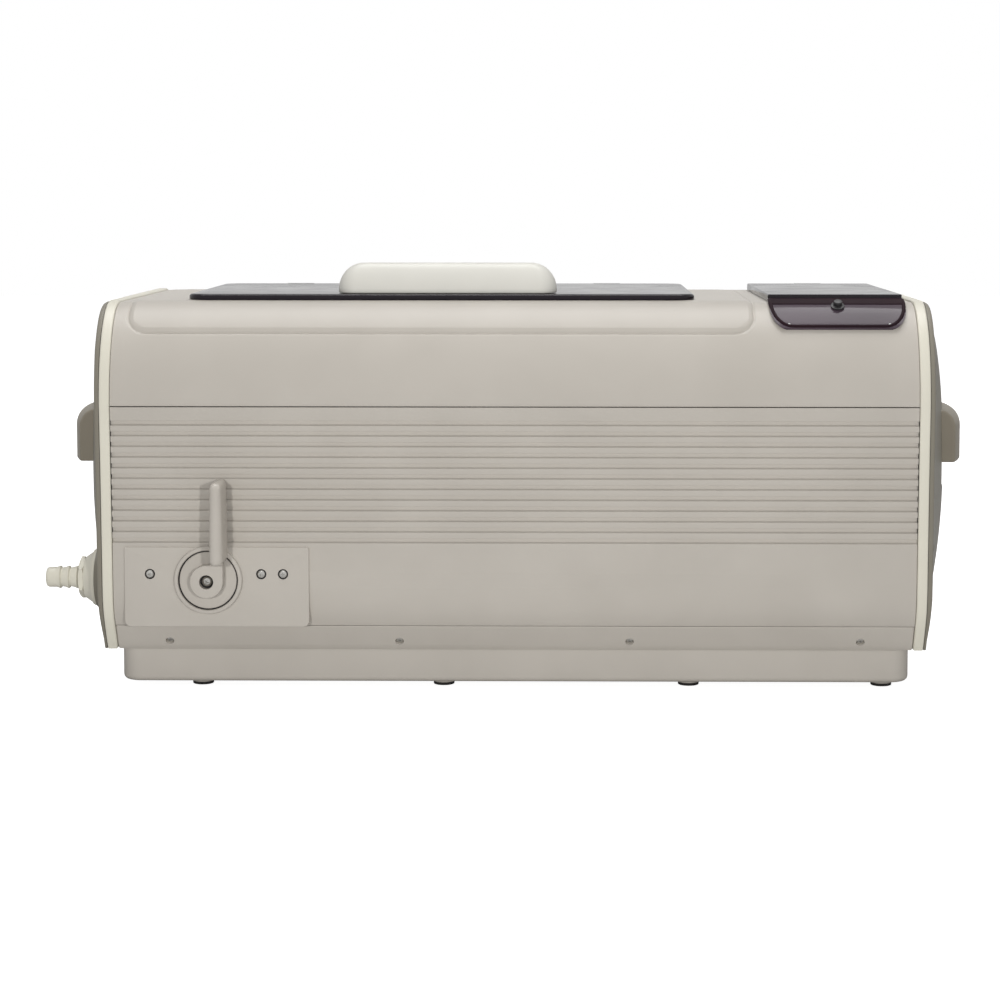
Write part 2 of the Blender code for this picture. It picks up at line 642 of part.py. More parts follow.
def make_lid():
    """Flat tray turned upside down over the tank's flange, hinged along its rear edge."""
    middle_y, half_y = (LID_Y[0] + LID_Y[1]) / 2, (LID_Y[1] - LID_Y[0]) / 2
    centre = (TANK_CENTRE[0], middle_y)
    rings = [
        (LID_HALF_X, half_y, LID_CORNER, LID_BOTTOM),
        (LID_HALF_X, half_y, LID_CORNER, LID_TOP - 0.9),
        (LID_HALF_X - 0.9, half_y - 0.9, LID_CORNER - 0.9, LID_TOP),
    ]
    lid = loft("tank_lid", centre, rings, SMOKE)
    set_pivot(lid, (TANK_CENTRE[0], *HINGE_AXIS))
    recess_y = (LID_Y[0] + 2.5, LID_Y[1] - 9.0)
    recess = (LID_HALF_X - 2.5, (recess_y[1] - recess_y[0]) / 2, LID_CORNER - 2.5)
    cut(lid, loft("lid_recess", (TANK_CENTRE[0], sum(recess_y) / 2),
                  [(*recess, LID_BOTTOM - 5.0), (*recess, LID_TOP - LID_PLATE)]))
    pin_ends = (LID_HINGES_X[0] - 25.0, LID_HINGES_X[1] + 25.0)
    for number, x in enumerate(LID_HINGES_X, 1):
        cut(lid, hinge_notch(f"lid_notch_{number}", x))
        make_hinge(f"lid_hinge_{number}", x)
    cut(lid, hinge_bore("lid_bore", (pin_ends[0] - GAP, pin_ends[1] + GAP)))
    make_hinge_pin("lid_hinge_pin", pin_ends)

    half_x, half_y = HANDLE_HALF
    low = LID_TOP + GAP
    rings = [(half_x - 1.0, half_y - 1.0, half_y - 1.1, low), (half_x, half_y, half_y - 0.1, low + 2.0)]
    for step in range(6):
        angle = math.radians(18.0 * step)
        rings.append((half_x - 17.0 * (1 - math.cos(angle)), half_y - 9.0 * (1 - math.cos(angle)),
                      half_y - 0.1 - 9.0 * (1 - math.cos(angle)),
                      HANDLE_TOP - 16.4 * (1 - math.sin(angle))))
    handle = loft("lid_handle", HANDLE_CENTRE, rings, CREAM, corner_steps=5, smooth_angle=50)
    set_pivot(handle, (HANDLE_CENTRE[0], *HINGE_AXIS))


# ================================================================== control panel
def make_panel_cover():
    """Flat lid over the controls with a curved lip that follows the shoulder down."""
    middle_x, half_x = (COVER_X[0] + COVER_X[1]) / 2, (COVER_X[1] - COVER_X[0]) / 2
    middle_y, half_y = (LID_Y[0] + LID_Y[1]) / 2, (LID_Y[1] - LID_Y[0]) / 2
    start = shoulder_angle(COVER_FRONT_Z)
    over, under = shoulder_points(start, -2.4, 6), shoulder_points(start, -0.5, 6)
    section = over + [(over[-1][0] + 5.0, over[-1][1]), (under[-1][0] + 5.0, under[-1][1])]
    cover = extruded("panel_cover", [section + list(reversed(under))], COVER_X, "X", SMOKE)
    set_pivot(cover, (middle_x, *HINGE_AXIS))
    rings = [(half_x - 0.2, half_y, 3.0, COVER_BOTTOM), (half_x - 0.2, half_y, 3.0, LID_TOP - 0.9),
             (half_x - 1.1, half_y - 0.9, 2.2, LID_TOP)]
    join(cover, loft("cover_top", (middle_x, middle_y), rings))
    recess_y = (LID_Y[0] + 8.0, LID_Y[1] - 9.0)
    recess = (half_x - 2.5, (recess_y[1] - recess_y[0]) / 2, 3.0)
    cut(cover, loft("cover_recess", (middle_x, sum(recess_y) / 2),
                    [(*recess, COVER_BOTTOM - 5.0), (*recess, LID_TOP - LID_PLATE)]))
    corner = 15.0
    lip_y = -BODY_HALF_Y
    for side, edge, place in ((-1, COVER_X[0], "left"), (1, COVER_X[1], "right")):
        rounded = [(edge - side * corner * (1 - math.sin(a)), COVER_FRONT_Z + corner * (1 - math.cos(a)))
                   for a in (math.radians(18.0 * step) for step in range(6))]
        outline = rounded + [(edge + side * 5.0, COVER_FRONT_Z + corner), (edge + side * 5.0, 230.0),
                             (edge - side * corner, 230.0)]
        cut(cover, extruded(f"lip_corner_{place}", [outline], (lip_y, lip_y + 30.0), "Y"))
    cut(cover, block("cover_heel", (COVER_X[0] - 5.0, HINGE_AXIS[0] - 0.5, COVER_BOTTOM - 5.0),
                     (COVER_X[1] + 5.0, HINGE_AXIS[0] + 9.0, LID_BOTTOM)))
    cut(cover, hinge_notch("cover_notch", middle_x))
    make_hinge("cover_hinge", middle_x)
    cut(cover, hinge_bore("cover_bore", (middle_x - 30.3, middle_x + 30.3)))
    make_hinge_pin("cover_hinge_pin", (middle_x - 30.0, middle_x + 30.0))

    angle = math.radians(68.0)
    reach = 2.4 + GAP
    seat = (middle_x, SHOULDER[0] - BODY_HALF_Y - (SHOULDER[0] + reach) * math.cos(angle),
            UPPER_SEAM + (SHOULDER[1] + reach) * math.sin(angle))
    normal = Vector((0, -math.cos(angle) / SHOULDER[0], math.sin(angle) / SHOULDER[1])).normalized()
    profile = [(0, 4.6), (2.4, 4.6), (3.0, 4.0), (3.0, 1.2), (4.6, 0.9), (4.6, 0.4), (0, 0.4)]
    turned("cover_knob", profile, seat, normal, DARK, 20)


def make_controls():
    middle = (BUTTON_X, (PLATE_Y[0] + PLATE_Y[1]) / 2)
    half = (PLATE_X[1] - PLATE_X[0]) / 2 - GAP, (PLATE_Y[1] - PLATE_Y[0]) / 2 - GAP
    under = DECK_Z - WALL - GAP
    rings = [(half[0] + 4.0, half[1] + 4.0, 3.0, under - 2.2), (half[0] + 4.0, half[1] + 4.0, 3.0, under),
             (half[0], half[1], 1.0, under), (half[0], half[1], 1.0, PLATE_TOP)]
    plate = loft("control_plate", middle, rings, DARK)
    screen_x, screen_y = 26.0, 13.0
    window = (BUTTON_X, DISPLAY_Y)
    cut(plate, block("display_hole", (window[0] - screen_x - GAP, window[1] - screen_y - GAP, 240.0),
                     (window[0] + screen_x + GAP, window[1] + screen_y + GAP, 270.0)))
    block("display_window", (window[0] - screen_x, window[1] - screen_y, DECK_Z - 4.0),
          (window[0] + screen_x, window[1] + screen_y, PLATE_TOP), SMOKE)

    board = block("control_board", (PLATE_X[0] + 2.0, PLATE_Y[0] + 4.0, 243.0),
                  (PLATE_X[1] - 2.0, PLATE_Y[1] - 4.0, 244.6), BOARD)
    top = DECK_Z - 0.1
    profile = [(0, top), (BUTTON_RADIUS - 0.6, top), (BUTTON_RADIUS, top - 0.5),
               (BUTTON_RADIUS, 255.0), (BUTTON_RADIUS + 1.5, 255.0), (BUTTON_RADIUS + 1.5, 253.6),
               (2.0, 253.6), (2.0, 249.4), (0, 249.4)]
    for number, y in enumerate(BUTTONS_Y, 1):
        cut(plate, cylinder(f"button_hole_{number}", BUTTON_RADIUS + GAP, (270.0, 240.0),
                            (BUTTON_X, y, 0), (0, 0, 1), segments=20))
        join(board, block(f"key_switch_{number}", (BUTTON_X - 3.1, y - 3.1, 244.0),
                          (BUTTON_X + 3.1, y + 3.1, 248.1)))
        turned(f"button_{number}", profile, (BUTTON_X, y, 0), (0, 0, 1), CREAM, 20)


# ================================================================== drain
def ball_and_stem(clearance, stem_top):
    """Profile of the valve's ball with its stem, or of the chamber around them."""
    ball, stem = BALL_RADIUS + clearance, STEM_RADIUS + clearance
    neck = math.asin(stem / ball)
    profile = [(0, stem_top), (stem, stem_top)]
    for step in range(7):
        angle = neck + (math.pi - neck) * step / 7
        profile.append((ball * math.sin(angle), ball * math.cos(angle)))
    return profile + [(0, -ball)]


def make_valve():
    x, z = VALVE
    plate_low, plate_high = VALVE_PLATE_Z
    contour = side_points(plate_low, plate_high, -GAP)
    wedge = [(VALVE_PLATE_Y, plate_low)] + contour + [(VALVE_PLATE_Y, plate_high)]
    plate = extruded("valve_plate", [wedge], VALVE_PLATE_X, "X", GREY)
    hole = (x, -BODY_HALF_Y, z)
    cut(plate, cylinder("plate_hole", 5.0, (20.0, -30.0), hole, (0, -1, 0)))

    face = VALVE_PLATE_Y - GAP
    rim = [(DIAL_RADIUS + 0.5, 3.0), (BEZEL_RADIUS - 0.8, 3.0), (BEZEL_RADIUS, 2.2), (BEZEL_RADIUS, 0.0),
           (DIAL_RADIUS + 0.5, 0.0)]
    turned("valve_bezel", rim, (x, face, z), (0, -1, 0), GREY, 32)

    lever = cylinder("valve_lever", DIAL_RADIUS, (2.6, 0.2), (x, face, z), (0, -1, 0), GREY, 32)
    hub_front = face - 11.0
    hub = [(x + HUB_RADIUS, z + HUB_RADIUS)]
    hub += [(x + HUB_RADIUS * math.cos(a), z + HUB_RADIUS * math.sin(a))
            for a in (math.radians(90.0 + 15.0 * step) for step in range(19))]
    join(lever, extruded("lever_hub", [hub], (hub_front, face - 1.0), "Y"))
    blade_low, blade_high = LEVER_BLADE_Z
    neck = [(LEVER_BLADE_X[0], z), (LEVER_BLADE_X[1] - 2.1, z), (LEVER_BLADE_X[1] - 0.4, blade_high - 6.0),
            (LEVER_BLADE_X[0] + 0.4, blade_high - 6.0)]
    join(lever, extruded("lever_neck", [neck], (hub_front + 4.0, face - 3.4), "Y"))
    blade = [(LEVER_FRONT, blade_low + 4.0), (LEVER_FRONT, blade_high - 5.0)]
    blade += [(LEVER_FRONT + 5.0 * (1 - math.cos(a)), blade_high - 5.0 + 5.0 * math.sin(a))
              for a in (math.radians(30.0 * step) for step in range(1, 4))]
    blade += [(hub_front, blade_high), (face - 3.4, blade_high - 8.0), (face - 3.4, blade_low + 2.0),
              (hub_front, blade_low), (LEVER_FRONT + 4.0, blade_low)]
    join(lever, extruded("lever_blade", [blade], LEVER_BLADE_X, "X"))
    cut(lever, cylinder("lever_screw_well", 4.7, (20.0, 6.5), (x, face, z), (0, -1, 0), segments=20))
    cut(lever, cylinder("lever_screw_hole", 1.9, (20.0, -5.0), (x, face, z), (0, -1, 0), segments=12))
    cut(lever, cylinder("lever_socket", 4.3, (4.0, -5.0), (x, face, z), (0, -1, 0), segments=20))

    screw = [(0, 9.2), (3.0, 9.2), (3.5, 8.4), (3.5, 6.8), (1.5, 6.8), (1.5, 4.4), (0, 4.4)]
    turned("lever_screw", screw, (x, face, z), (0, -1, 0), STEEL, 16)

    stem_top = VALVE_Y - face + 3.6
    body = cylinder("valve_body", 13.0, (26.0, -26.0), (x, VALVE_Y, z), (1, 0, 0), BRASS, 24)
    neck_top = VALVE_Y + BODY_HALF_Y - 12.0
    join(body, cylinder("valve_neck", 8.0, (neck_top, 0.0), (x, VALVE_Y, z), (0, -1, 0), segments=20))
    cut(body, turned("valve_chamber", ball_and_stem(GAP, neck_top + 5.0), (x, VALVE_Y, z), (0, -1, 0),
                     segments=20))
    cut(body, cylinder("flow_bore", 5.0, (40.0, -40.0), (x, VALVE_Y, z), (1, 0, 0), segments=14))
    ball = turned("valve_ball", ball_and_stem(0.0, stem_top), (x, VALVE_Y, z), (0, -1, 0), STEEL, 20)
    cut(ball, cylinder("ball_bore", 4.5, (20.0, -20.0), (x, VALVE_Y, z), (0, 0, 1), segments=16))


def make_drain():
    """Hoses from the tank to the valve and from the valve to the outlet."""
    x, z = VALVE
    hose("drain_hose", [(DRAIN[0], DRAIN[1], 103.5), (DRAIN[0], DRAIN[1], 95.0),
                        (DRAIN[0] - 6.0, VALVE_Y + 10.0, z + 4.0), (x + 33.0, VALVE_Y, z),
                        (x + 26.8, VALVE_Y, z)], 7.5, 1.8, RUBBER)
    inner_end = -SPIGOT_SEAT_X + 18.0
    hose("outlet_hose", [(x - 26.8, VALVE_Y, z), (x - 31.0, VALVE_Y, z),
                         (inner_end + 8.0, *SPIGOT), (inner_end, *SPIGOT)],
         7.5, 1.8, RUBBER)
    seat, tip = SPIGOT_SEAT_X, SPIGOT_TIP_X
    flange = seat + GAP
    profile = [(3.8, tip), (6.2, tip), (7.6, tip - 3.4), (6.9, tip - 3.8)]
    for ridge in (1, 2):
        start = tip - 1.4 - 6.0 * ridge
        profile += [(6.9, start), (7.6, start - 3.2), (6.9, start - 3.6)]
    profile += [(6.9, flange + 8.0), (17.5, flange + 8.0), (19.3, flange + 4.0), (19.3, flange),
                (8.4, flange), (8.4, 276.0), (4.8, 276.0), (4.8, 263.0), (3.8, 263.0)]
    turned("drain_spigot", profile, (0, *SPIGOT), (-1, 0, 0), CREAM, 20)
    across = 24.8 / math.sqrt(3)
    nut = [circle(SPIGOT, across, 6), circle(SPIGOT, 7.2 + GAP, 20)]
    extruded("spigot_nut", nut, (-flange - 8.0 - GAP, -flange - 12.0), "X", CREAM)


# ================================================================== electrics
def make_rear_fittings():
    x, z = INLET
    inlet = block("power_inlet", (x - 16.0, REAR_FACE + GAP, z - 12.5),
                  (x + 16.0, REAR_FACE + 3.2, z + 12.5), DARK)
    join(inlet, block("inlet_body", (x - 13.6, REAR_FACE - 18.0, z - 10.1),
                      (x + 13.6, REAR_FACE + 2.0, z + 10.1)))
    cut(inlet, block("inlet_room", (x - 12.2, REAR_FACE - 14.0, z - 8.2),
                     (x + 12.2, REAR_FACE + 6.0, z + 8.2)))
    for number, (dx, dz) in enumerate(((-7.0, -2.0), (7.0, -2.0), (0.0, 2.0))):
        join(inlet, block(f"inlet_pin_{number}", (x + dx - 1.0, REAR_FACE - 15.0, z + dz - 2.0),
                          (x + dx + 1.0, REAR_FACE + 1.0, z + dz + 2.0)))

    x, z = SWITCH
    housing = block("switch_housing", (x - 8.6, REAR_FACE + GAP, z - 12.5),
                    (x + 8.6, REAR_FACE + 2.0, z + 12.5), DARK)
    join(housing, block("switch_body", (x - 6.8, REAR_FACE - 14.0, z - 10.1),
                        (x + 6.8, REAR_FACE + 1.0, z + 10.1)))
    cut(housing, block("switch_room", (x - 5.6, REAR_FACE - 6.0, z - 9.4),
                       (x + 5.6, REAR_FACE + 6.0, z + 9.4)))
    axis_y = REAR_FACE + 0.5
    outline = [(axis_y - 4.0, z - 4.0), (axis_y - 4.0, z + 4.0), (axis_y + 0.6, z + 8.3),
               (axis_y + 3.6, z + 8.3), (axis_y + 1.6, z), (axis_y + 3.6, z - 8.3),
               (axis_y + 0.6, z - 8.3)]
    rocker = extruded("switch_rocker", [outline], (x - 5.2, x + 5.2), "X", RED)
    set_pivot(rocker, (x, axis_y, z))
    rocker.rotation_euler.x = -ROCKER_TILT


def make_fan():
    x, z = FAN
    front, rear = BODY_HALF_Y - 36.0, BODY_HALF_Y - 11.0
    outlines = [rounded_rectangle(FAN, (FAN_HALF, FAN_HALF), 4.0, 3), circle(FAN, 37.5, 32)]
    frame = extruded("fan_frame", outlines, (front, rear), "Y", DARK)
    arm = 26.0
    for number in range(2):
        diagonal = [(arm, arm - 4), (arm, arm), (arm - 4, arm), (-arm, 4 - arm), (-arm, -arm), (4 - arm, -arm)]
        points = [(x + (a if number == 0 else -a) * 1.09, z + b * 1.09) for a, b in diagonal]
        join(frame, extruded(f"fan_arm_{number}", [points], (front + 0.5, front + 3.0), "Y"))
    join(frame, cylinder("fan_motor", 15.0, (-front - 0.4, -front - 5.0), (x, 0, z), (0, -1, 0),
                         segments=24))
    blades = 7
    outline = []
    for number in range(blades):
        start = 2 * math.pi * number / blades
        for radius, turn in ((16.0, 0.0), (35.5, 0.10), (35.5, 0.52), (16.0, 0.40)):
            outline.append((x + radius * math.cos(start + turn), z + radius * math.sin(start + turn)))
    rotor = extruded("fan_rotor", [outline], (front + 6.0, rear - 3.0), "Y", DARK)
    set_pivot(rotor, (x, (front + rear) / 2, z))


def make_electronics():
    block("driver_board", (150.0, -70.0, 15.4), (242.0, 70.0, 17.0), BOARD)
    fins, pitch, base = 7, 6.0, 162.0
    comb = [(base, 17.3), (base + (fins - 1) * pitch + 2.0, 17.3)]
    for number in reversed(range(fins)):
        left = base + number * pitch
        comb += [(left + 2.0, 52.0), (left, 52.0)]
        if number:
            comb += [(left, 21.5), (left - pitch + 2.0, 21.5)]
    extruded("heat_sink", [comb], (-20.0, 50.0), "Y", ALUMINIUM)
    core = block("transformer", (207.0, -58.0, 17.3), (237.0, -14.0, 55.0), IRON)
    join(core, block("winding", (202.0, -50.0, 25.0), (241.0, -22.0, 47.0)))


# ================================================================== assembly
clear_scene()
PIECES = make_collection("ultrasonic_cleaner")
CUTTERS = make_collection("cutters")
ROOT = bpy.data.objects.new("body_centre", None)
PIECES.objects.link(ROOT)
ROOT.location = (CENTRE[0] * MM, CENTRE[1] * MM, 0.0)

GREY = plastic("warm_grey_abs", (0.52, 0.49, 0.45))
CREAM = plastic("cream_abs", (0.76, 0.74, 0.66), 0.4)
BEIGE = plastic("beige_abs", (0.62, 0.58, 0.50), 0.4)
SMOKE = plastic("smoked_acrylic", (0.10, 0.07, 0.09), 0.12)
DARK = plastic("black_nylon", (0.03, 0.03, 0.035), 0.5)
RED = plastic("rocker_red", (0.45, 0.03, 0.02), 0.4)
RUBBER = plastic("black_rubber", (0.04, 0.04, 0.04), 0.8)
STEEL = plastic("stainless_steel", (0.62, 0.61, 0.60), 0.3, 1.0)
ALUMINIUM = plastic("cast_aluminium", (0.70, 0.70, 0.71), 0.4, 1.0)
BRASS = plastic("nickelled_brass", (0.65, 0.60, 0.50), 0.35, 1.0)
IRON = plastic("transformer_iron", (0.10, 0.10, 0.11), 0.5, 0.6)
BOARD = plastic("circuit_board", (0.02, 0.14, 0.06), 0.5)

make_upper_shell()
make_front_panel()
make_rear_panel()
make_base_tray()
make_feet()
make_end_trim("end_trim_left", -1)
make_end_trim("end_trim_right", 1)
make_end_cap("end_cap_left", -1, True)
make_end_cap("end_cap_right", 1, False)
make_carry_handle("carry_handle_left", -1)
make_carry_handle("carry_handle_right", 1)
make_tank()
make_transducers()
make_lid()
make_panel_cover()
make_controls()
make_valve()
make_drain()
make_rear_fittings()
make_fan()
make_electronics()
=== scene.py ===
"""A bench-top ultrasonic cleaner: ribbed grey case, smoked lids, cream rings, domed ends, drain valve and spigot."""

import math

import bmesh
import bpy
from mathutils import Matrix, Vector


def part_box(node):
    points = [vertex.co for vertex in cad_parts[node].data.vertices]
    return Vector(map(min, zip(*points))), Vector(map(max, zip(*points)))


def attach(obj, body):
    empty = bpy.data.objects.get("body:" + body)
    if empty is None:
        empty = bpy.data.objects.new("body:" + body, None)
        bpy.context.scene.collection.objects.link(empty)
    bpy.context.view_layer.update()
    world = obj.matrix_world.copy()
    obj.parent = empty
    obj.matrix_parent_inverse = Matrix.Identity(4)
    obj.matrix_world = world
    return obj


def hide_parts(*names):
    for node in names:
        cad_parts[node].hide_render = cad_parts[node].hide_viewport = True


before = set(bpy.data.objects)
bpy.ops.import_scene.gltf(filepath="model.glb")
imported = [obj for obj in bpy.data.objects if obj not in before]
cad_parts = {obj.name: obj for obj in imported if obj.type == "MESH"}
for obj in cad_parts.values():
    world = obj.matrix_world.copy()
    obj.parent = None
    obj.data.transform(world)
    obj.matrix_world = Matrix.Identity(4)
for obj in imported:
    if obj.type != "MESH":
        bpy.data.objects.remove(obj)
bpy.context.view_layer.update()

# ------------------------------------------------------------------ sizes, in millimetres
# X and Y are measured from the middle of the case, Z from the table.
MM = 0.001
GAP = 0.3
RIGHT, LEFT, BACK, FORWARD, UP = (1, 0, 0), (-1, 0, 0), (0, 1, 0), (0, -1, 0), (0, 0, 1)


def box_mm(node):
    """Lowest and highest corner of a CAD node, in the frame's directions and millimetres."""
    low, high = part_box(node)
    return low * 1000, high * 1000


SHELL_LOW, SHELL_HIGH = box_mm("front_panel")
_, REAR_HIGH = box_mm("rear_panel")
CENTRE = Vector(((SHELL_LOW.x + SHELL_HIGH.x) / 2, (SHELL_LOW.y + REAR_HIGH.y) / 2, 0))


def case_box(node):
    """The same corners measured from the middle of the case."""
    low, high = box_mm(node)
    return low - CENTRE, high - CENTRE


def plan(low, high):
    """Middle and half size of a box, seen from above."""
    return (((low.x + high.x) / 2, (low.y + high.y) / 2), ((high.x - low.x) / 2, (high.y - low.y) / 2))


CASE_HALF_X = (SHELL_HIGH.x - SHELL_LOW.x) / 2
HALF_Y = (REAR_HIGH.y - SHELL_LOW.y) / 2       # front plane of the case, at the shoulder's foot
WALL = 2.5
PLINTH_TOP = 27.3
BAND_TOP = 44.7
SHOULDER_FOOT = 193.0
DECK = 260.6
SHOULDER = (46.0, DECK - SHOULDER_FOOT)        # semi-axes of the curve from panel to deck
SIDE = ((27.3, 22.0), (44.7, 12.0), (54.0, 7.5), (65.0, 5.2), (100.0, 4.0), (150.0, 2.4), (193.0, 0.0))

RIB_GROOVES = 12
RIB_TOP = 183.6
RIB_PITCH = 7.15
RIB_WIDTH = 3.0
RIB_DEPTH = 1.9

PAD_X = (-257.5, 159.0)
PAD_FRONT_Z = 241.5
PAD_REAR_Y = 83.0
PAD_RISE = 1.0
PAD_CORNER = 13.0
PAD_BEVEL = 3.0
PAD_GROOVE = 0.8

TANK_FLANGE = 7.7                              # how far the flange reaches past the inside of the bath
TANK_MIDDLE, (FLANGE_HALF_X, FLANGE_HALF_Y) = plan(*case_box("tank"))
TANK_HALF = (FLANGE_HALF_X - TANK_FLANGE, FLANGE_HALF_Y - TANK_FLANGE)
TANK_CORNER = 14.0
TANK_FLOOR = 111.0
TANK_SHEET = 1.2
DRAIN = (-150.0, -59.0)

HINGE_Y, HINGE_Z = 90.9, 263.8
PIN_BORE = 1.2
LID_TOP = 265.7
LID_LOW, LID_HIGH = case_box("tank_lid")
LID_Y = (LID_LOW.y, LID_HIGH.y)
COVER_LOW, COVER_HIGH = case_box("panel_cover")
COVER_X = (COVER_LOW.x, COVER_HIGH.x)
COVER_FRONT_Z = 243.0
LIP_TOP, LIP_UNDER = 2.4, 0.5                  # the lip's two faces, measured out from the shoulder
LIP_CORNER = 15.0
PLATE_RIM = 4.0                                # how far the control plate's rim reaches under the shell
KNOB_ANGLE = 68.0                              # degrees up the shoulder

VALVE_X, VALVE_Z = -203.3, 77.2
VALVE_SCREW_XS, VALVE_SCREW_Z = (-242.3, -168.1, -153.6), 81.0
HUB_RADIUS = 11.0
SPIGOT_Y, SPIGOT_Z = 50.0 - HALF_Y, 71.5
SPIGOT_SEAT = 285.2                            # flat seat on the left end, out from the middle
FAN_X, FAN_Z = 195.0, 118.0
FAN_RADIUS, FAN_SLOT_PITCH = 34.0, 6.0
FAN_SCREW = 35.8                               # screw places out from the fan's middle, along X and Z
VENT_X, VENT_PITCH, VENTS = -215.0, 9.0, 12
SLOT_RADIUS = 1.6
INLET_X, SWITCH_X, SOCKET_Z = 95.0, 58.0, 88.0
SOCKET_FACE_Y = HALF_Y - 4.2


# ------------------------------------------------------------------ building solids
def turns(step, count, start=0):
    """Evenly spaced angles in radians, from a step and a start in degrees."""
    return [math.radians(start + step * i) for i in range(count)]


def place_object(work, name="solid"):
    """A mesh in the making becomes an object in the scene."""
    mesh = bpy.data.meshes.new(name)
    work.to_mesh(mesh)
    work.free()
    obj = bpy.data.objects.new(name, mesh)
    bpy.context.scene.collection.objects.link(obj)
    return obj


def keep(work):
    """A solid in the making becomes an object, still in millimetres, with its faces turned outwards."""
    bmesh.ops.remove_doubles(work, verts=work.verts, dist=0.0005)
    bmesh.ops.recalc_face_normals(work, faces=work.faces)
    return place_object(work)


def settle(obj):
    """Applies an object's modifiers to its mesh."""
    graph = bpy.context.evaluated_depsgraph_get()
    made = bpy.data.meshes.new_from_object(obj.evaluated_get(graph))
    obj.modifiers.clear()
    obj.data = made
    return obj


def combine(obj, other, operation):
    step = obj.modifiers.new("combine", "BOOLEAN")
    step.operation = operation
    step.solver = "EXACT"
    step.object = other
    settle(obj)
    bpy.data.objects.remove(other)
    return obj


def carve(obj, *cutters):
    for cutter in cutters:
        combine(obj, cutter, "DIFFERENCE")
    return obj


def weld(obj, *others):
    for other in others:
        combine(obj, other, "UNION")
    return obj


def gather(*parts):
    """Separate solids in one object, as parts that are fixed to each other."""
    work = bmesh.new()
    for part in parts:
        work.from_mesh(part.data)
        bpy.data.objects.remove(part)
    return place_object(work)


def add_bevel(obj, width, segments, angle):
    """Adds a modifier that rounds edges sharper than an angle."""
    step = obj.modifiers.new("ease", "BEVEL")
    step.width = width
    step.segments = segments
    step.limit_method = "ANGLE"
    step.angle_limit = math.radians(angle)


def ease(obj, width, segments=3, angle=35):
    """Rounds the sharp edges of a solid."""
    add_bevel(obj, width, segments, angle)
    return settle(obj)


def skin(sections, closed=True, ends=True):
    """A solid through rings of equally many points."""
    work = bmesh.new()
    rings = [[work.verts.new(point) for point in section] for section in sections]
    pairs = list(zip(rings, rings[1:]))
    if not ends:
        pairs.append((rings[-1], rings[0]))
    for one, two in pairs:
        count = len(one) if closed else len(one) - 1
        for i in range(count):
            j = (i + 1) % len(one)
            work.faces.new((one[i], one[j], two[j], two[i]))
    if ends:
        work.faces.new(rings[0])
        work.faces.new(list(reversed(rings[-1])))
    return keep(work)


def along(axis, flat, depth):
    """A flat outline's point, standing across an axis."""
    a, b = flat
    return {"X": (depth, a, b), "Y": (a, depth, b), "Z": (a, b, depth)}[axis]


def prism(outline, span, axis, edge=0.0, steps=3):
    """An outline pushed along an axis, its end faces rounded over by an edge radius."""
    low, high = min(span), max(span)
    if not edge:
        return skin([[along(axis, point, depth) for point in outline] for depth in (low, high)])
    sections = []
    for side in (0, 1):
        for step in range(steps + 1):
            turn = math.radians(90) * (step / steps if side else 1 - step / steps)
            inset = edge * (1 - math.cos(turn))
            depth = (high - edge + edge * math.sin(turn)) if side else (low + edge - edge * math.sin(turn))
            sections.append([along(axis, point, depth) for point in shrunk(outline, inset)])
    return skin(sections)


def shrunk(outline, inset):
    """An outline moved inwards by an inset, corner by corner."""
    if not inset:
        return list(outline)
    area = sum(x0 * y1 - x1 * y0 for (x0, y0), (x1, y1) in zip(outline, outline[1:] + outline[:1]))
    sign = 1 if area > 0 else -1
    moved = []
    count = len(outline)
    for i, point in enumerate(outline):
        before = Vector(outline[i - 1])
        here = Vector(point)
        after = Vector(outline[(i + 1) % count])
        one, two = (here - before), (after - here)
        if one.length < 1e-9 or two.length < 1e-9:
            moved.append(tuple(point))
            continue
        one.normalize()
        two.normalize()
        normal = Vector((-one.y - two.y, one.x + two.x)) * sign
        if normal.length < 1e-6:
            moved.append(tuple(point))
            continue
        normal.normalize()
        flat = Vector((-one.y, one.x)) * sign
        moved.append(tuple(here + normal * (inset / max(normal.dot(flat), 0.4))))
    return moved


def rounded(outline, radius, steps=4):
    """An outline with its corners turned into arcs; radius may be one number or one for each corner."""
    radii = radius if isinstance(radius, (list, tuple)) else [radius] * len(outline)
    points = []
    for i, corner in enumerate(outline):
        here = Vector(corner)
        before = Vector(outline[i - 1]) - here
        after = Vector(outline[(i + 1) % len(outline)]) - here
        angle = before.angle(after)
        if radii[i] <= 0 or angle > math.radians(175):
            points.append(tuple(corner))
            continue
        reach = min(radii[i] / math.tan(angle / 2), before.length * 0.49, after.length * 0.49)
        start, end = here + before.normalized() * reach, here + after.normalized() * reach
        for step in range(steps + 1):
            t = step / steps
            points.append(tuple(start * (1 - t) ** 2 + here * 2 * t * (1 - t) + end * t ** 2))
    return points


def lathe(profile, place, direction, segments=48):
    """A profile of (radius, height) turned about an axis through a place."""
    turn = Vector(UP).rotation_difference(Vector(direction)).to_matrix().to_4x4()
    matrix = Matrix.Translation(place) @ turn
    work = bmesh.new()
    rings = []
    for radius, height in profile:
        if radius < 1e-6:
            rings.append([work.verts.new(matrix @ Vector((0, 0, height)))])
            continue
        rings.append([work.verts.new(matrix @ Vector((radius * math.cos(a), radius * math.sin(a), height)))
                      for a in (2 * math.pi * i / segments for i in range(segments))])
    loop = list(zip(rings, rings[1:]))
    if len(rings[0]) > 1 and len(rings[-1]) > 1:
        loop.append((rings[-1], rings[0]))
    for one, two in loop:
        for i in range(segments):
            j = (i + 1) % segments
            corners = [one[i % len(one)], one[j % len(one)], two[j % len(two)], two[i % len(two)]]
            corners = list(dict.fromkeys(corners))
            if len(corners) > 2:
                work.faces.new(corners)
    return keep(work)


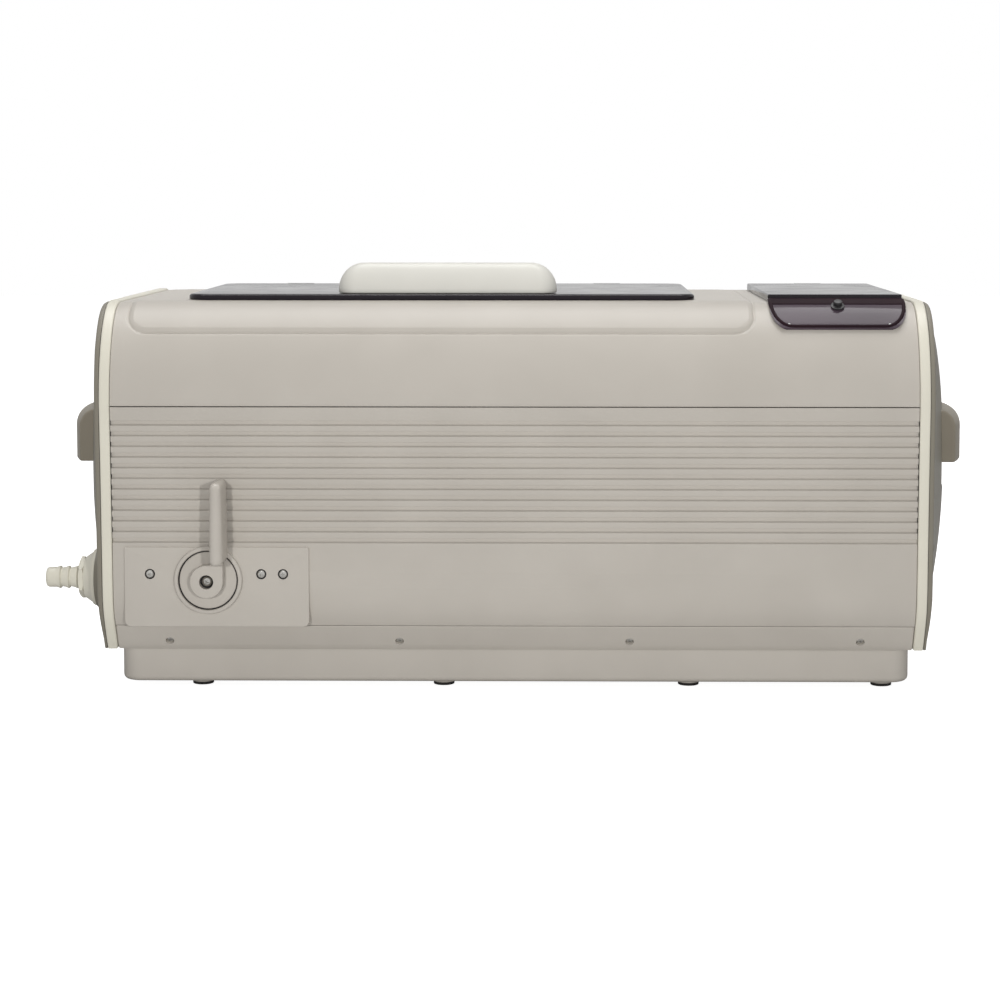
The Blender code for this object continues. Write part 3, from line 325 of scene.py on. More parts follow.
def rod(radius, ends, place, direction, edge=0.0, segments=48):
    low, high = min(ends), max(ends)
    if not edge:
        return lathe([(0, low), (radius, low), (radius, high), (0, high)], place, direction, segments)
    curve = [(edge * (1 - math.cos(a)), edge * (1 - math.sin(a)))
             for a in turns(22.5, 5)]
    profile = [(0, low)] + [(radius - inset, low + rise) for inset, rise in reversed(curve)]
    profile += [(radius - inset, high - rise) for inset, rise in curve] + [(0, high)]
    return lathe(profile, place, direction, segments)


def rectangle(low_x, low_y, high_x, high_y):
    return [(low_x, low_y), (high_x, low_y), (high_x, high_y), (low_x, high_y)]


def slab(low, high, edge=0.0):
    outline = rectangle(*low[:2], *high[:2])
    if not edge:
        return prism(outline, (low[2], high[2]), "Z")
    return prism(rounded(outline, edge), (low[2], high[2]), "Z", edge)


def pillow(centre, rings, steps=8):
    """A solid through rounded rectangles: (half x, half y, corner, z)."""
    sections = []
    for half_x, half_y, corner, z in rings:
        corner = max(min(corner, half_x - 0.01, half_y - 0.01), 0.05)
        section = []
        for quarter, (sx, sy) in enumerate(((1, 1), (-1, 1), (-1, -1), (1, -1))):
            for step in range(steps + 1):
                a = math.radians(90) * (quarter + step / steps)
                section.append((centre[0] + sx * (half_x - corner) + corner * math.cos(a),
                                centre[1] + sy * (half_y - corner) + corner * math.sin(a), z))
        sections.append(section)
    return skin(sections)


def capsule(x, low, high, radius, span):
    """A slot with round ends, standing in a wall and cut along Y."""
    outline = [(x + radius * math.cos(a), high - radius + radius * math.sin(a))
               for a in turns(22.5, 9)]
    outline += [(x + radius * math.cos(a), low + radius + radius * math.sin(a))
                for a in turns(22.5, 9, 180)]
    return prism(outline, span, "Y")


# ------------------------------------------------------------------ the case's outline, seen from the end
def side_depth(z):
    """How far the front face stands back from the front plane at a height."""
    last = len(SIDE) - 1
    slopes = []
    for i in range(len(SIDE)):
        (z0, d0), (z1, d1) = SIDE[max(i - 1, 0)], SIDE[min(i + 1, last)]
        slopes.append((d1 - d0) / (z1 - z0))
    for i, ((z0, d0), (z1, d1)) in enumerate(zip(SIDE, SIDE[1:])):
        if z <= z1 or i == last - 1:
            t, h = (z - z0) / (z1 - z0), z1 - z0
            return ((2 * t ** 3 - 3 * t ** 2 + 1) * d0 + (t ** 3 - 2 * t ** 2 + t) * h * slopes[i]
                    + (3 * t ** 2 - 2 * t ** 3) * d1 + (t ** 3 - t ** 2) * h * slopes[i + 1])


def front_line(low, high, inset=0.0, steps=28):
    """(Y, Z) points up the front face."""
    return [(side_depth(z) + inset - HALF_Y, z)
            for z in (low + (high - low) * i / steps for i in range(steps + 1))]


def shoulder_point(angle, inset=0.0):
    return (SHOULDER[0] - HALF_Y - (SHOULDER[0] - inset) * math.cos(angle),
            SHOULDER_FOOT + (SHOULDER[1] - inset) * math.sin(angle))


def shoulder_normal(angle):
    """Direction out of the shoulder."""
    return Vector((0, -math.cos(angle) / SHOULDER[0], math.sin(angle) / SHOULDER[1])).normalized()


def shoulder_angle(z):
    return math.asin((z - SHOULDER_FOOT) / SHOULDER[1])


def shoulder_line(start, inset=0.0, steps=40):
    return [shoulder_point(start + (math.pi / 2 - start) * i / steps, inset) for i in range(steps + 1)]


def mirrored(points):
    return [(-y, z) for y, z in reversed(points)]


def case_outline(inset, low):
    front = front_line(low, SHOULDER_FOOT, inset) + shoulder_line(0.0, inset, 24)[1:]
    return front + mirrored(front)


# ------------------------------------------------------------------ materials
def linear(colour):
    """An sRGB hex value as linear red, green, blue and alpha."""
    channels = [int(colour[i:i + 2], 16) / 255 for i in (1, 3, 5)]
    return tuple(c / 12.92 if c <= 0.04045 else ((c + 0.055) / 1.055) ** 2.4 for c in channels) + (1.0,)


def per(size_mm):
    """Texture scale that gives features of a size."""
    return 1000.0 / size_mm


def add(tree, kind, sockets=None, **settings):
    """Adds a node; each socket takes another node's output or a plain value."""
    node = tree.nodes.new("ShaderNode" + kind)
    for name, value in settings.items():
        setattr(node, name, value)
    for name, value in (sockets or {}).items():
        if isinstance(value, bpy.types.NodeSocket):
            tree.links.new(value, node.inputs[name])
        else:
            node.inputs[name].default_value = value
    return node


def new_material(name, constants):
    """A material with its shader's constants set, its tree and its shader."""
    material = bpy.data.materials.new(name)
    material.use_nodes = True
    tree = material.node_tree
    shader = tree.nodes["Principled BSDF"]
    for socket, value in constants.items():
        shader.inputs[socket].default_value = value
    return material, tree, shader


def tint(tree, shader, value, shade, colour, low=0.0, high=1.0):
    """Colours a shader between two sRGB values, as a node's output goes from low to high."""
    ramp = add(tree, "ValToRGB", {"Fac": value})
    for element, place, tone in zip(ramp.color_ramp.elements, (low, high), (shade, colour)):
        element.position = place
        element.color = linear(tone)
    tree.links.new(ramp.outputs["Color"], shader.inputs["Base Color"])


def sheen(tree, shader, value, spread, roughness):
    """Spreads a shader's roughness between two values, as a node's output goes over its own spread."""
    dull = add(tree, "MapRange", {"Value": value, "From Min": spread[0], "From Max": spread[1],
                                  "To Min": roughness[0], "To Max": roughness[1]})
    tree.links.new(dull.outputs["Result"], shader.inputs["Roughness"])


def relief(tree, shader, value, strength, relief_mm):
    """Raises a shader's surface by a node's output."""
    bump = add(tree, "Bump", {"Height": value, "Strength": strength, "Distance": relief_mm * MM})
    tree.links.new(bump.outputs["Normal"], shader.inputs["Normal"])


def moulded(name, colour, shade, roughness, grain_mm, relief_mm, ior=1.54, coat=0.0):
    """Injection-moulded plastic: an even colour with faint flow clouds, and the spark-eroded tool's fine grain.
    The real grain is about a quarter of the size given, which is too fine to show."""
    material, tree, shader = new_material(name, {"IOR": ior, "Coat Weight": coat, "Coat Roughness": 0.12})
    place = add(tree, "TexCoord").outputs["Object"]
    clouds = add(tree, "TexNoise", {"Vector": place, "Scale": per(55), "Detail": 2.0, "Roughness": 0.5})
    tint(tree, shader, clouds.outputs["Fac"], shade, colour, 0.35, 0.65)
    grain = add(tree, "TexNoise", {"Vector": place, "Scale": per(grain_mm), "Detail": 2.0, "Roughness": 0.6})
    sheen(tree, shader, grain.outputs["Fac"], (0.3, 0.7), (roughness - 0.04, roughness + 0.05))
    relief(tree, shader, grain.outputs["Fac"], 0.6, relief_mm)
    return material


def smoked(name, colour, alpha, roughness, gloss=0.3):
    """Cast acrylic with a smoke dye: a polished skin that mirrors the room at low angles, over a violet-grey body."""
    material, tree, shader = new_material(name, {"IOR": 1.49, "Alpha": alpha, "Specular IOR Level": gloss})
    place = add(tree, "TexCoord").outputs["Object"]
    dye = add(tree, "TexNoise", {"Vector": place, "Scale": per(80), "Detail": 1.0})
    tint(tree, shader, dye.outputs["Fac"], "#171218", colour)
    haze = add(tree, "TexNoise", {"Vector": place, "Scale": per(24), "Detail": 3.0})
    sheen(tree, shader, haze.outputs["Fac"], (0.35, 0.75), (roughness, roughness + 0.06))
    return material


def worked_metal(name, colour, shade, roughness, stretch, line_mm, relief_mm):
    """Metal with the fine lines of brushing, drawing or turning, drawn coarser than real so that they show."""
    material, tree, shader = new_material(name, {"Metallic": 1.0})
    place = add(tree, "TexCoord").outputs["Object"]
    pulled = add(tree, "Mapping", {"Vector": place, "Scale": stretch})
    lines = add(tree, "TexNoise", {"Vector": pulled.outputs["Vector"], "Scale": per(line_mm), "Detail": 4.0,
                                   "Roughness": 0.65})
    tint(tree, shader, lines.outputs["Fac"], shade, colour, 0.3, 0.7)
    sheen(tree, shader, lines.outputs["Fac"], (0.3, 0.7), (roughness + 0.08, roughness - 0.05))
    relief(tree, shader, lines.outputs["Fac"], 0.5, relief_mm)
    return material


def copper_board():
    """Solder-masked epoxy glass: satin green with lighter copper tracks 1.2 mm apart under the mask."""
    material, tree, shader = new_material("solder_masked_board", {"IOR": 1.55, "Roughness": 0.35})
    place = add(tree, "TexCoord").outputs["Object"]
    cells = add(tree, "TexVoronoi", {"Vector": place, "Scale": per(6.0)}, distance="CHEBYCHEV")
    tracks = add(tree, "Math", {0: cells.outputs["Distance"], 1: 0.2}, operation="PINGPONG")
    tint(tree, shader, tracks.outputs["Value"], "#1B4A31", "#23603D", 0.05, 0.12)
    return material


GREY_ABS = moulded("moulded_abs_warm_grey", "#BEB8AF", "#BAB4AB", 0.42, 0.8, 0.02)
CREAM_ABS = moulded("moulded_abs_cream", "#DDD9CA", "#D9D5C6", 0.38, 0.8, 0.012)
LID_ABS = moulded("moulded_abs_ivory", "#DDDBD3", "#D9D7CF", 0.4, 0.8, 0.012)
BEIGE_ABS = moulded("moulded_abs_beige", "#837E72", "#7F7A6E", 0.46, 0.9, 0.02)
GRIP_ABS = moulded("moulded_abs_dark_beige", "#928A7B", "#8E8677", 0.48, 0.9, 0.02)
BLACK_NYLON = moulded("moulded_nylon_black", "#1E1D1E", "#191819", 0.42, 0.7, 0.02, ior=1.53)
CHARCOAL_PC = moulded("moulded_polycarbonate_charcoal", "#3A3A3D", "#363639", 0.36, 0.7, 0.015, ior=1.58)
KEY_PC = moulded("moulded_polycarbonate_key", "#C9CBC8", "#C4C6C3", 0.32, 0.7, 0.01, ior=1.58)
ROCKER_PC = moulded("moulded_polycarbonate_red", "#A81F1C", "#A01B19", 0.25, 0.7, 0.008, ior=1.58, coat=0.3)
FOOT_RUBBER = moulded("moulded_rubber_black", "#2C2A29", "#262423", 0.75, 0.9, 0.04, ior=1.52)
# This rubber also makes the dark rings of painted shade in the valve screws' wells and in the dial's gap.
SEAL_AND_SHADE_RUBBER = moulded("moulded_rubber_gasket_and_painted_shade", "#2B2A2A", "#262525", 0.6, 1.2, 0.02, ior=1.41)
HEATER_SILICONE = moulded("calendered_silicone_black", "#2F2B2A", "#292626", 0.65, 1.4, 0.05, ior=1.41)
HOSE_RUBBER = moulded("extruded_rubber_hose", "#262626", "#212121", 0.3, 2.0, 0.01, ior=1.53)
LID_ACRYLIC = smoked("cast_acrylic_smoked", "#1E161E", 0.96, 0.09)
LIP_ACRYLIC = smoked("formed_acrylic_smoked", "#655761", 0.94, 0.10)
# Dark, dull acrylic for the lip's rim, and for a strip that is painted shade under the cover plate's front edge.
EDGE_AND_SHADE_ACRYLIC = smoked("cast_acrylic_edge_and_painted_shade", "#2E1C22", 1.0, 0.5, 0.06)
TANK_STEEL = worked_metal("deep_drawn_stainless_steel", "#C3C4C4", "#B3B4B5", 0.24, (1, 1, 0.06), 1.6, 0.01)
SCREW_STEEL = worked_metal("turned_stainless_steel", "#E2E0DB", "#CFCDC8", 0.3, (1, 1, 1), 0.5, 0.006)
HINGE_STEEL = worked_metal("rolled_stainless_steel", "#B2B2B1", "#9E9E9D", 0.3, (0.08, 1, 1), 0.7, 0.006)
CAST_METAL = worked_metal("cast_aluminium", "#A9ABAC", "#979999", 0.45, (1, 1, 1), 1.5, 0.05)
NICKEL_BRASS = worked_metal("nickelled_brass", "#B9B19D", "#A79F8B", 0.22, (1, 1, 1), 0.6, 0.004)
CORE_IRON = worked_metal("laminated_iron", "#6C6A67", "#4F4D4B", 0.5, (1, 1, 14), 1.0, 0.05)
GREEN_BOARD = copper_board()


# ------------------------------------------------------------------ pieces
def dress(obj, material, angle):
    """Gives an object one material, smooth across edges up to an angle."""
    obj.data.materials.clear()
    obj.data.materials.append(material)
    for polygon in obj.data.polygons:
        polygon.use_smooth = True
    obj.data.set_sharp_from_angle(angle=math.radians(angle))


def piece(obj, name, body, material, stands_for=(), smooth=32):
    """Moves a solid from case millimetres to the frame, names it and ties it to its body."""
    obj.data.transform(Matrix.Scale(MM, 4) @ Matrix.Translation(CENTRE))
    obj.name = name
    obj.data.name = name
    dress(obj, material, smooth)
    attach(obj, body)
    if stands_for:
        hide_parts(*stands_for)
    return obj


def pan_screw(place, direction, radius=2.85, height=1.9, turn=20.0):
    """Pan-head screw with a cross recess."""
    profile = [(0, 0.0), (radius, 0.0), (radius, height * 0.35)]
    for step in range(1, 6):
        a = math.radians(18 * step)
        profile.append((radius * math.cos(a) ** 0.7 if step < 5 else 0, height * (0.35 + 0.65 * math.sin(a))))
    head = lathe(profile, place, direction, 32)
    normal = Vector(direction)
    side = normal.orthogonal().normalized()
    side.rotate(Matrix.Rotation(math.radians(turn), 3, normal))
    across = normal.cross(side)
    for one, two in ((side, across), (across, side)):
        work = bmesh.new()
        reach, thin = radius * 0.52, radius * 0.13
        corners = []
        for depth, grow in ((height * 0.35, 0.55), (height + 1.0, 1.0)):
            for a, b in ((-1, -1), (1, -1), (1, 1), (-1, 1)):
                corners.append(work.verts.new(Vector(place) + normal * depth + one * a * reach * grow
                                              + two * b * thin * grow))
        for quad in ((0, 1, 2, 3), (7, 6, 5, 4), (0, 4, 5, 1), (1, 5, 6, 2), (2, 6, 7, 3), (3, 7, 4, 0)):
            work.faces.new([corners[i] for i in quad])
        carve(head, keep(work))
    return head


# ------------------------------------------------------------------ case
def pad_lift(x, s, s_front, s_rear):
    """Height of the raised field around the lid, at a place on the unrolled shell."""
    half_x, half_s = (PAD_X[1] - PAD_X[0]) / 2 - PAD_CORNER, (s_rear - s_front) / 2 - PAD_CORNER
    dx = abs(x - (PAD_X[0] + PAD_X[1]) / 2) - half_x
    ds = abs(s - (s_front + s_rear) / 2) - half_s
    outside = math.hypot(max(dx, 0.0), max(ds, 0.0)) + min(max(dx, ds), 0.0) - PAD_CORNER
    ramp = min(max(-outside / PAD_BEVEL, 0.0), 1.0)
    groove = PAD_GROOVE * max(1 - abs(outside - 0.7) / 1.2, 0.0)
    return PAD_RISE * ramp - groove


def spread(edges, coarse, fine, reach):
    """Grid lines that close up around some edges."""
    lines = []
    place = edges[0]
    while place < edges[-1]:
        lines.append(place)
        near = min(abs(place - e) for e in edges[1:-1])
        place += fine if near < reach else min(coarse, max(near - reach + fine, fine))
    lines.append(edges[-1])
    return lines


def make_upper_shell():
    """Shoulders and deck in one moulding, with the soft raised field and its two openings."""
    start = shoulder_angle(SHOULDER_FOOT + GAP)
    pad_angle = shoulder_angle(PAD_FRONT_Z)
    front = [shoulder_point(angle) for angle in spread([start, pad_angle, math.pi / 2], 0.016, 0.006, 0.06)]
    line = front + [(y, DECK) for y in spread([front[-1][0], PAD_REAR_Y, -front[-1][0]], 8.0, 0.4, 4.0)[1:-1]]
    line += mirrored(front)
    length, lengths = 0.0, [0.0]
    for (y0, z0), (y1, z1) in zip(line, line[1:]):
        length += math.hypot(y1 - y0, z1 - z0)
        lengths.append(length)
    pad_start = shoulder_point(shoulder_angle(PAD_FRONT_Z))
    s_front = min(zip(lengths, line), key=lambda row: abs(row[1][1] - pad_start[1]) + (row[1][0] > 0) * 999)[0]
    s_rear = min(zip(lengths, line), key=lambda row: abs(row[1][0] - PAD_REAR_Y) + (row[1][1] < 255) * 999)[0]
    columns = spread([-CASE_HALF_X, PAD_X[0], PAD_X[0] + PAD_CORNER, PAD_X[1] - PAD_CORNER, PAD_X[1],
                      CASE_HALF_X], 12.0, 0.45, 4.0)
    edge = 0.5
    sections = []
    for x in columns:
        ring = []
        for i, (y, z) in enumerate(line):
            before, after = line[max(i - 1, 0)], line[min(i + 1, len(line) - 1)]
            normal = Vector((-(after[1] - before[1]), after[0] - before[0])).normalized()
            lift = pad_lift(x, lengths[i], s_front, s_rear)
            near = min(x + CASE_HALF_X, CASE_HALF_X - x, lengths[i], length - lengths[i])
            if near < edge:
                lift -= edge - math.sqrt(edge ** 2 - (edge - near) ** 2)
            ring.append((x, y + normal.x * lift, z + normal.y * lift))
        inner = shoulder_line(start, WALL, 24)
        inner = inner + mirrored(inner)
        ring += [(x, y, z) for y, z in reversed(inner)]
        sections.append(ring)
    shell = skin(sections)
    hole = (TANK_HALF[0] + TANK_SHEET + 1.0, TANK_HALF[1] + TANK_SHEET + 1.0, TANK_CORNER)
    middle, (hole_x, hole_y) = plan(*case_box("control_plate"))
    hole_x, hole_y = hole_x - PLATE_RIM + GAP, hole_y - PLATE_RIM + GAP
    carve(shell, pillow(TANK_MIDDLE, [(*hole, 250.0), (*hole, 270.0)]),
          pillow(middle, [(hole_x, hole_y, 1.2, 250.0), (hole_x, hole_y, 1.2, DECK - 0.5),
                          (hole_x + 0.9, hole_y + 0.9, 1.9, DECK + 0.4), (hole_x + 0.9, hole_y + 0.9, 1.9, 270.0)]))
    piece(shell, "shell_top", "casing", GREY_ABS, ["upper_shell"], 40)


def make_ribbed_front():
    """Twelve grooves over a plain field; each has a crisp upper lip and a sloped lower one."""
    outline, radii = [], []
    for y, z in front_line(BAND_TOP + GAP, RIB_TOP - RIB_PITCH * RIB_GROOVES + 2.0, 0.0, 20):
        outline.append((y, z))
        radii.append(0.0)
    radii[0] = 0.7
    for number in reversed(range(RIB_GROOVES)):
        top = RIB_TOP - RIB_PITCH * number
        low = top - RIB_WIDTH
        face = side_depth(top) - HALF_Y
        outline += [(side_depth(low) - HALF_Y, low - 0.4), (face + RIB_DEPTH, low + 0.6),
                    (face + RIB_DEPTH, top), (face, top)]
        radii += [0.5, 0.35, 0.3, 0.3]
    outline.append((side_depth(SHOULDER_FOOT - GAP) - HALF_Y, SHOULDER_FOOT - GAP))
    radii.append(0.6)
    inner = front_line(BAND_TOP + GAP, SHOULDER_FOOT - GAP, WALL + RIB_DEPTH, 8)
    outline += reversed(inner)
    radii += [0.0] * len(inner)
    panel = prism(rounded(outline, radii, 3), (-CASE_HALF_X, CASE_HALF_X), "X", 0.3, 2)
    carve(panel, rod(5.0, (20.0, -30.0), (VALVE_X, -HALF_Y, VALVE_Z), FORWARD))
    piece(panel, "ribbed_front", "casing", GREY_ABS, ["front_panel"], 30)


def make_rear_panel():
    """Plain panel with a round fan grille, a field of vents, and holes for inlet and switch."""
    outer = front_line(BAND_TOP + GAP, SHOULDER_FOOT - GAP)
    inner = front_line(BAND_TOP + GAP, SHOULDER_FOOT - GAP, WALL)
    outline = [(-y, z) for y, z in outer + list(reversed(inner))]
    panel = prism(outline, (-CASE_HALF_X, CASE_HALF_X), "X", 0.3, 2)
    cutters, depth = [], (120.0, 160.0)
    for index in range(-5, 6):
        half = math.sqrt(FAN_RADIUS ** 2 - (index * FAN_SLOT_PITCH) ** 2)
        x = FAN_X + index * FAN_SLOT_PITCH
        cutters.append(capsule(x, FAN_Z - half, FAN_Z + half, SLOT_RADIUS, depth))
    cutters += [capsule(VENT_X + index * VENT_PITCH, 120.0, 160.0, SLOT_RADIUS, depth) for index in range(VENTS)]
    for x, half_x in ((INLET_X, 14.0), (SWITCH_X, 7.2)):
        cutters.append(slab((x - half_x, 120.0, SOCKET_Z - 10.5), (x + half_x, 160.0, SOCKET_Z + 10.5)))
    carve(panel, gather(*cutters))
    piece(panel, "back_panel", "casing", GREY_ABS, ["rear_panel"], 30)


SCREW_XS = (-232.0, -77.3, 77.3, 232.0)


def make_base():
    """Flared band over a plinth with rounded corners, open on top, with four sunk case screws at the front."""
    base_z = case_box("base_tray")[0].z
    plinth_x, plinth_y, corner = 266.3, HALF_Y - 24.0, 13.0
    band_top, band_low = HALF_Y - side_depth(BAND_TOP), HALF_Y - side_depth(PLINTH_TOP)
    rings = []
    for a in turns(15, 7):
        inset = 3.5 * (1 - math.sin(a))
        rings.append((plinth_x - inset, plinth_y - inset, corner - inset, base_z + 3.5 * (1 - math.cos(a))))
    rings += [(plinth_x, plinth_y, corner, PLINTH_TOP - 2.0),
              (plinth_x + 0.1, plinth_y + 0.1, corner, PLINTH_TOP - 0.9),
              (plinth_x + 0.3, plinth_y + 0.4, corner, PLINTH_TOP - 0.3),
              (CASE_HALF_X - 0.5, band_low - 0.6, 1.2, PLINTH_TOP), (CASE_HALF_X, band_low, 1.2, PLINTH_TOP + 0.7)]
    for step in range(1, 8):
        z = PLINTH_TOP + 0.7 + (BAND_TOP - PLINTH_TOP - 1.3) * step / 7
        rings.append((CASE_HALF_X, HALF_Y - side_depth(z), 1.2, z))
    rings += [(CASE_HALF_X - 0.3, band_top - 0.4, 1.0, BAND_TOP),
              (CASE_HALF_X - WALL, band_top - WALL, 0.6, BAND_TOP),
              (CASE_HALF_X - WALL, band_low - WALL, 0.6, PLINTH_TOP + WALL),
              (plinth_x - WALL, plinth_y - WALL, corner - WALL, PLINTH_TOP + WALL),
              (plinth_x - WALL, plinth_y - WALL, corner - WALL, base_z + WALL)]
    tray = pillow((0, 0), rings, 10)
    slope = Vector((0, -(BAND_TOP - PLINTH_TOP), -(side_depth(PLINTH_TOP) - side_depth(BAND_TOP)))).normalized()
    screw_z = 33.2
    cutters, screws = [], []
    for side in (-1, 1):
        for x in SCREW_XS:
            face = Vector((x, side * (HALF_Y - side_depth(screw_z)), screw_z))
            out = Vector((0, -side * slope.y, slope.z))
            cutters.append(lathe([(0, 4.0), (3.2, 4.0), (2.9, -0.3), (2.8, -2.0), (0, -2.0)], face, out, 32))
            screws.append(pan_screw(face - out * 2.0, out, 2.6, 1.0, 33.0 + x))
    for x, y in ((156.0, -62.0), (236.0, -62.0), (156.0, 62.0), (236.0, 62.0)):
        weld(tray, rod(4.0, (15.0, 5.5), (x, y, 0), UP, 0.0, 24))
    carve(tray, gather(*cutters))
    piece(tray, "base_moulding", "casing", GREY_ABS, ["base_tray"], 30)
    piece(gather(*screws), "base_screws", "casing", SCREW_STEEL)


def make_feet():
    """Rubber pads, each under a moulded boss of the base."""
    bosses = []
    for row in ("front", "rear"):
        for number in range(1, 5):
            low, high = case_box(f"foot_{row}_{number}")
            middle, (radius, _) = plan(low, high)
            place = (*middle, 0)
            bosses.append(lathe([(7.3, high.z + 0.2), (radius, high.z + 0.2), (radius - 0.2, high.z - 0.5),
                                 (radius - 1.0, 2.3), (radius - 1.3, 2.0), (7.15, 2.0)], place, UP, 40))
            profile = [(0, high.z), (7.1, high.z), (7.1, 0.6), (6.9, 0.2), (6.5, 0.0), (3.2, 0.0), (2.6, 0.8), (0, 0.8)]
            piece(lathe(profile, place, UP, 40), f"rubber_foot_{row}_{number}", "casing",
                  FOOT_RUBBER, [f"foot_{row}_{number}"])
    piece(gather(*bosses), "foot_bosses", "casing", GREY_ABS)


def make_ring(name):
    """Cream frame around one end of the case, standing a little proud, with rounded edges."""
    low, high = case_box(f"end_trim_{name}")
    outer = case_outline(-1.0, PLINTH_TOP)
    inner = case_outline(4.0, PLINTH_TOP + 5.0)
    radius, steps = 1.3, 4
    sections = []
    for face in (0, 1):
        for step in range(steps + 1):
            a = math.radians(90) * (step / steps if face else 1 - step / steps)
            x = (high.x - radius + radius * math.sin(a)) if face else (low.x + radius - radius * math.sin(a))
            sections.append([(x, *point) for point in shrunk(outer, radius * (1 - math.cos(a)))])
    sections += [[(high.x, *point) for point in inner], [(low.x, *point) for point in inner]]
    ring = skin(sections, ends=False)
    piece(ring, f"cream_ring_{name}", "casing", CREAM_ABS, [f"end_trim_{name}"], 40)


CAP_START = CASE_HALF_X + 7.6
CAP_RIM = 3.0
CAP_BULGE = 24.5
CAP_MIDDLE_Z, CAP_OVER, CAP_UNDER = 140.0, 120.0, 102.0
GRIP_HALF_Y = 55.0
GRIP_BOW = 10.0


def cap_reach(y, z):
    """How far a domed end stands out over its edge."""
    along_y = math.sin(math.pi / 2 * (1 - min(abs(y) / HALF_Y, 1.0))) ** 1.6
    half, power = (CAP_OVER, 2.2) if z > CAP_MIDDLE_Z else (CAP_UNDER, 2.0)
    height = min(abs(z - CAP_MIDDLE_Z) / half, 1.0)
    rim = CAP_RIM * (0.6 + 0.4 * min((1 - height) / 0.25, 1.0))
    return rim + CAP_BULGE * along_y * (1 - height ** power) ** (1 / power)


def reflect(*objects):
    """Turns right-hand solids into left-hand ones."""
    for obj in objects:
        obj.data.transform(Matrix.Diagonal((-1, 1, 1, 1)))
        obj.data.flip_normals()


def make_end_cap(side, name):
    """Domed end moulding with a window for the hand grip and, on the left, a flat seat for the drain."""
    edge = case_outline(0.0, PLINTH_TOP)
    dense = []
    for (y0, z0), (y1, z1) in zip(edge, edge[1:] + edge[:1]):
        parts = max(math.ceil(math.hypot(y1 - y0, z1 - z0) / 9.0), 1)
        dense += [(y0 + (y1 - y0) * i / parts, z0 + (z1 - z0) * i / parts) for i in range(parts)]
    middle_z, half_z = (PLINTH_TOP + DECK) / 2, (DECK - PLINTH_TOP) / 2

    def section(scale, share, inset, back=0.0):
        made = []
        for y, z in dense:
            y = y * scale * (1 - inset / HALF_Y)
            z = middle_z + (z - middle_z) * scale * (1 - inset / half_z)
            reach = max(cap_reach(y, z) - back, 0.0) * share
            made.append((CAP_START + reach, y, z))
        return made

    scales = [1.0 - 0.012 * i for i in range(1, 9)] + [0.87 - 0.058 * i for i in range(15)]
    outer = [section(1.0, 0.0, 0.0)]
    for a in turns(22.5, 4, 22.5):
        outer.append(section(1.0, 0.5 + 0.5 * math.sin(a), 1.2 * (1 - math.cos(a))))
    outer += [section(scale, 1.0, 0.0) for scale in scales]
    inner = [section(1.0, 0.0, WALL)] + [section(scale, 1.0, WALL, WALL) for scale in scales[::3] + scales[-1:]]
    work = bmesh.new()
    rings = [[work.verts.new(point) for point in ring] for ring in list(reversed(outer)) + inner]
    for one, two in zip(rings, rings[1:]):
        for i in range(len(one)):
            j = (i + 1) % len(one)
            work.faces.new((one[i], one[j], two[j], two[i]))
    for ring in (rings[0], rings[-1]):
        work.faces.new(ring)
    cap = keep(work)
    grip_low, grip_high = case_box(f"carry_handle_{name}")
    reach = GRIP_HALF_Y + GAP
    x_span = (277.0, 325.0)
    window = rectangle(-reach, grip_low.z - GAP, reach, grip_high.z + GAP)
    carve(cap, prism(rounded(window, 4.0, 5), x_span, "X"))
    bumps = [(-HALF_Y + 26.0, 201.0), (-HALF_Y + 26.0, 96.0)] if side > 0 else [(-HALF_Y + 26.0, 186.0)]
    plugs = []
    for y, z in bumps + [(-y, z) for y, z in bumps]:
        x = CAP_START + cap_reach(y, z)
        out = Vector((1.0, 0.55 * (1 if y > 0 else -1), 0)).normalized()
        place = Vector((x - 0.6, y, z))
        plugs.append(lathe([(0, -0.5), (3.2, -0.5), (3.2, 0.4), (2.9, 0.9), (2.2, 1.2), (0, 1.35)], place, out, 32))
    if side < 0:
        seat = (SPIGOT_SEAT, SPIGOT_Y, SPIGOT_Z)
        weld(cap, rod(20.4, (1.0, -11.0), seat, RIGHT))
        carve(cap, rod(20.6, (30.0, 0.0), seat, RIGHT), rod(9.0, (30.0, -30.0), seat, RIGHT))
    plugs = gather(*plugs)
    if side < 0:
        reflect(cap, plugs)
    piece(cap, f"domed_end_{name}", "casing", BEIGE_ABS, [f"end_cap_{name}"], 40)
    piece(plugs, f"screw_plugs_{name}", "casing", BEIGE_ABS)


def bowed(shape, half_y, steps=24):
    """Solid across a domed end whose front follows the dome; shape gives each end view from its bow."""
    sections = []
    for step in range(steps + 1):
        y = half_y * (2 * step / steps - 1)
        sections.append([(x, y, z) for x, z in shape(GRIP_BOW * (y / GRIP_HALF_Y) ** 2)])
    return skin(sections)


